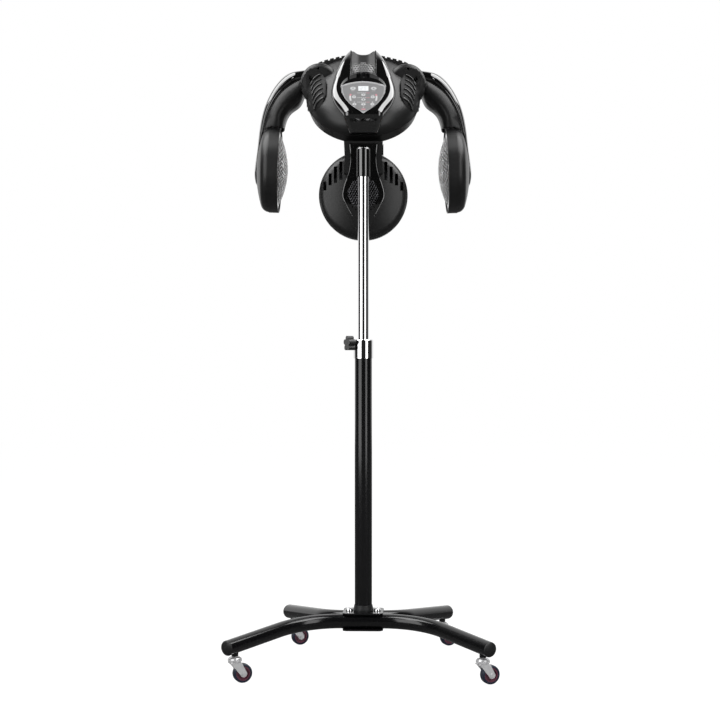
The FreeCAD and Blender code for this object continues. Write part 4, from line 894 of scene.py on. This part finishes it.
for key, (x, y) in KEY_DOTS.items():
    bm = bmesh.new()
    pad(bm, x, y, *DOT_SHAPE, z=KEY_TOP + PAD_FOOT)
    panel_piece(f"{key}_sign", bm, "key_cap", PRINT_DARK, body=key)
print("key signs:", len(KEY_ARROWS), "arrows and", len(KEY_DOTS), "dots")

# %% [markdown]
# ## Display digits
# The display shows a number of two digits. A digit is put together from slim strokes, as on a
# seven-segment display, and each stroke is a square drawn out to a narrow diamond.

# %% Display digits
# X and Y of each stroke's middle, and its turn in degrees
SEGMENTS = {"top": (0, 5, 0), "middle": (0, 0, 0), "bottom": (0, -5, 0),
            "upper_left": (-2.6, 2.5, 90), "upper_right": (2.6, 2.5, 90),
            "lower_left": (-2.6, -2.5, 90), "lower_right": (2.6, -2.5, 90)}
DIGITS = {"2": ("top", "upper_right", "middle", "lower_left", "bottom"),
          "5": ("top", "upper_left", "middle", "lower_right", "bottom")}
DIGIT_PLACES = {"2": (-4.6, 35.0), "5": (4.6, 35.0)}
STROKE_R = 0.55
STROKE_STRETCH = 4.0
DIGIT_LIFT = 0.03
DIGIT_T = 0.1
DIGIT_FINISH = finish("display_digits", (0.40, 0.42, 0.45), (0.46, 0.48, 0.51), 0.3, 0.03)


def digit(bm, figure, x, y):
    """The strokes of one digit about its middle."""
    for name in DIGITS[figure]:
        dx, dy, turn = SEGMENTS[name]
        made = bmesh.ops.create_circle(bm, cap_ends=True, segments=4, radius=STROKE_R)
        bmesh.ops.scale(bm, verts=made["verts"], vec=(STROKE_STRETCH, 1.0, 1.0))
        bmesh.ops.rotate(bm, verts=made["verts"], cent=(0, 0, 0),
                         matrix=Matrix.Rotation(math.radians(turn), 3, "Z"))
        bmesh.ops.translate(bm, verts=made["verts"], vec=(x + dx, y + dy, DIGIT_LIFT))


bm = bmesh.new()
for figure, (x, y) in DIGIT_PLACES.items():
    digit(bm, figure, x, y)
digits = panel_piece("display_digits", bm, "display", DIGIT_FINISH)
solidify(digits, DIGIT_T)
print(digits.name, len(digits.data.polygons), "strokes")

# %% [markdown]
# ## Floor
# The machine stands on a plain white floor. To the camera the floor glows, so that it runs on into
# the white behind the machine. In the machine's own gloss it is a dim grey, which keeps the black
# mouldings black.

# %% Floor
FLOOR_HALF = 9.0
FLOOR_WHITE = (0.9, 0.9, 0.9, 1)
FLOOR_GLOW = 1.17
FLOOR_GLOW_SHARE = 0.8        # what the camera sees of the glow, beside the lit floor
FLOOR_MIRRORED = 0.15         # how bright the floor is in the machine's own gloss


def glowing(tree, kind, strength):
    """White emission or background shader."""
    node = tree.nodes.new(kind)
    node.inputs["Color"].default_value = (1, 1, 1, 1)
    node.inputs["Strength"].default_value = strength
    return node


def floor_material():
    """Lit white that glows to the camera and is dim in reflections."""
    material = bpy.data.materials.new("white_floor")
    material.use_nodes = True
    tree = material.node_tree
    tree.nodes.clear()
    out = tree.nodes.new("ShaderNodeOutputMaterial")
    lit = tree.nodes.new("ShaderNodeBsdfDiffuse")
    lit.inputs["Color"].default_value = FLOOR_WHITE
    glow = glowing(tree, "ShaderNodeEmission", FLOOR_GLOW)
    mirrored = glowing(tree, "ShaderNodeEmission", FLOOR_MIRRORED)
    path = tree.nodes.new("ShaderNodeLightPath")
    mix = tree.nodes.new("ShaderNodeMixShader")
    share = math_node(tree, "MULTIPLY", path.outputs["Is Camera Ray"], FLOOR_GLOW_SHARE)
    tree.links.new(share, mix.inputs["Fac"])
    tree.links.new(lit.outputs["BSDF"], mix.inputs[1])
    tree.links.new(glow.outputs["Emission"], mix.inputs[2])
    reflected = tree.nodes.new("ShaderNodeMixShader")
    tree.links.new(path.outputs["Is Glossy Ray"], reflected.inputs["Fac"])
    tree.links.new(mix.outputs["Shader"], reflected.inputs[1])
    tree.links.new(mirrored.outputs["Emission"], reflected.inputs[2])
    tree.links.new(reflected.outputs["Shader"], out.inputs["Surface"])
    return material


bm = bmesh.new()
bmesh.ops.create_grid(bm, x_segments=1, y_segments=1, size=FLOOR_HALF)
floor_mesh = bpy.data.meshes.new("floor")
bm.to_mesh(floor_mesh)
bm.free()
floor_mesh.materials.append(floor_material())
floor = bpy.data.objects.new("floor", floor_mesh)
bpy.context.scene.collection.objects.link(floor)
floor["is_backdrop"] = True
print("floor:", 2 * FLOOR_HALF, "m square")

# %% [markdown]
# ## Room
# Polished parts show what stands around them. The camera sees white all round. In reflections the
# room is white towards the back wall and dark on the camera's side, so the chrome gets its dark
# lines. Plain surfaces only get a weak, even light from the room.

# %% World
ROOM_DARK = 0.02
ROOM_STOPS = ((0.62, 0.03), (0.70, 0.3), (0.78, 0.95))
AMBIENT = 0.35


def studio_world():
    """White to the camera, a fading wall in reflections and even light on plain surfaces."""
    world = bpy.data.worlds.new("studio")
    bpy.context.scene.world = world
    world.use_nodes = True
    tree = world.node_tree
    tree.nodes.clear()
    out = tree.nodes.new("ShaderNodeOutputWorld")
    mix = tree.nodes.new("ShaderNodeMixShader")
    ambient = glowing(tree, "ShaderNodeBackground", AMBIENT)
    shown = glowing(tree, "ShaderNodeBackground", 1.0)
    path = tree.nodes.new("ShaderNodeLightPath")
    coordinate = tree.nodes.new("ShaderNodeTexCoord")
    split = tree.nodes.new("ShaderNodeSeparateXYZ")
    tree.links.new(coordinate.outputs["Generated"], split.inputs["Vector"])
    shifted = tree.nodes.new("ShaderNodeMapRange")
    shifted.inputs["From Min"].default_value = -1.0
    tree.links.new(split.outputs["Y"], shifted.inputs["Value"])
    wall = tree.nodes.new("ShaderNodeValToRGB")
    ramp = wall.color_ramp
    ramp.elements[0].color = (*[ROOM_DARK] * 3, 1)
    ramp.elements[1].color = (1, 1, 1, 1)
    for place, value in ROOM_STOPS:
        ramp.elements.new(place).color = (value, value, value, 1)
    tree.links.new(shifted.outputs["Result"], wall.inputs["Fac"])
    level = math_node(tree, "MAXIMUM", wall.outputs["Color"], path.outputs["Is Camera Ray"])
    tree.links.new(level, shown.inputs["Strength"])
    seen = math_node(tree, "ADD", path.outputs["Is Camera Ray"], path.outputs["Is Glossy Ray"])
    all_seen = math_node(tree, "ADD", seen, path.outputs["Is Transmission Ray"], clamp=True)
    tree.links.new(all_seen, mix.inputs["Fac"])
    tree.links.new(ambient.outputs["Background"], mix.inputs[1])
    tree.links.new(shown.outputs["Background"], mix.inputs[2])
    tree.links.new(mix.outputs["Shader"], out.inputs["Surface"])
    return world


print("world:", studio_world().name)

# %% [markdown]
# ## Lamps and reflection cards
# The lights are of two kinds. A lamp lights plain surfaces and leaves no image in the gloss. A card
# does the opposite: it is seen only in reflections, where it draws the long bright shapes along the
# black mouldings. So each kind can be set without upsetting the other.

# %% Lights
# place, aim, width, height and brightness, in metres
LAMPS = {
    "left_lamp": ((-1.9, -1.5, 2.0), (0, 0, 1.45), 0.5, 2.6, 10),
    "right_lamp": ((1.9, -1.5, 2.0), (0, 0, 1.45), 0.5, 2.6, 10),
    "top_lamp": ((0, 1.4, 3.2), (0, 0, 1.2), 1.8, 0.7, 6),
}
CARDS = {
    "left_card": ((-1.35, -1.3, 1.35), (0, 0, 1.2), 1.45, 2.0, 3.0),
    "right_card": ((1.2, -1.48, 1.35), (0, 0, 1.2), 0.8, 2.0, 3.0),
    "left_high_card": ((-0.95, -0.1, 2.6), (0, 0, 1.45), 1.7, 1.4, 6.0),
    "right_high_card": ((0.95, -0.1, 2.6), (0, 0, 1.45), 1.7, 1.4, 6.0),
}


def softbox(name, place, target, width, height, brightness, card):
    """Rectangular light; a card is seen only in reflections, and a lamp only by plain surfaces."""
    light = bpy.data.lights.new(name, "AREA")
    light.shape = "RECTANGLE"
    light.size = width
    light.size_y = height
    light.energy = brightness * math.pi * width * height
    obj = bpy.data.objects.new(name, light)
    bpy.context.scene.collection.objects.link(obj)
    obj.location = place
    obj.rotation_euler = (Vector(target) - Vector(place)).to_track_quat("-Z", "Y").to_euler()
    obj.visible_camera = False
    obj.visible_diffuse = not card
    obj.visible_glossy = card


for settings, card in ((LAMPS, False), (CARDS, True)):
    for name, setting in settings.items():
        softbox(name, *setting, card)
print("lights:", len(LAMPS), "lamps and", len(CARDS), "cards")

# %% [markdown]
# ## Camera
# The camera stands in front of the machine, at about half its height, and looks level, so the mast
# stays upright in the frame. It is turned and shifted a little to the side.

# %% Camera
CAMERA_PLACE = (-0.0083, -3.5, 0.759)
CAMERA_TURN = -1.5
LENS = 70.0
SENSOR = 36.0
SHIFT = -0.051

camera_data = bpy.data.cameras.new("camera")
camera_data.lens = LENS
camera_data.sensor_width = SENSOR
camera_data.shift_x = SHIFT
camera = bpy.data.objects.new("camera", camera_data)
bpy.context.scene.collection.objects.link(camera)
camera.location = CAMERA_PLACE
camera.rotation_euler = (math.radians(90), 0, math.radians(CAMERA_TURN))
bpy.context.scene.camera = camera
bpy.context.scene.view_settings.view_transform = "Standard"
print("camera at", CAMERA_PLACE)

# %% [markdown]
# ## Sizes and the end
# The box round everything that renders, the floor left out, is worked out at the end.

# %% Finish
low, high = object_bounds()
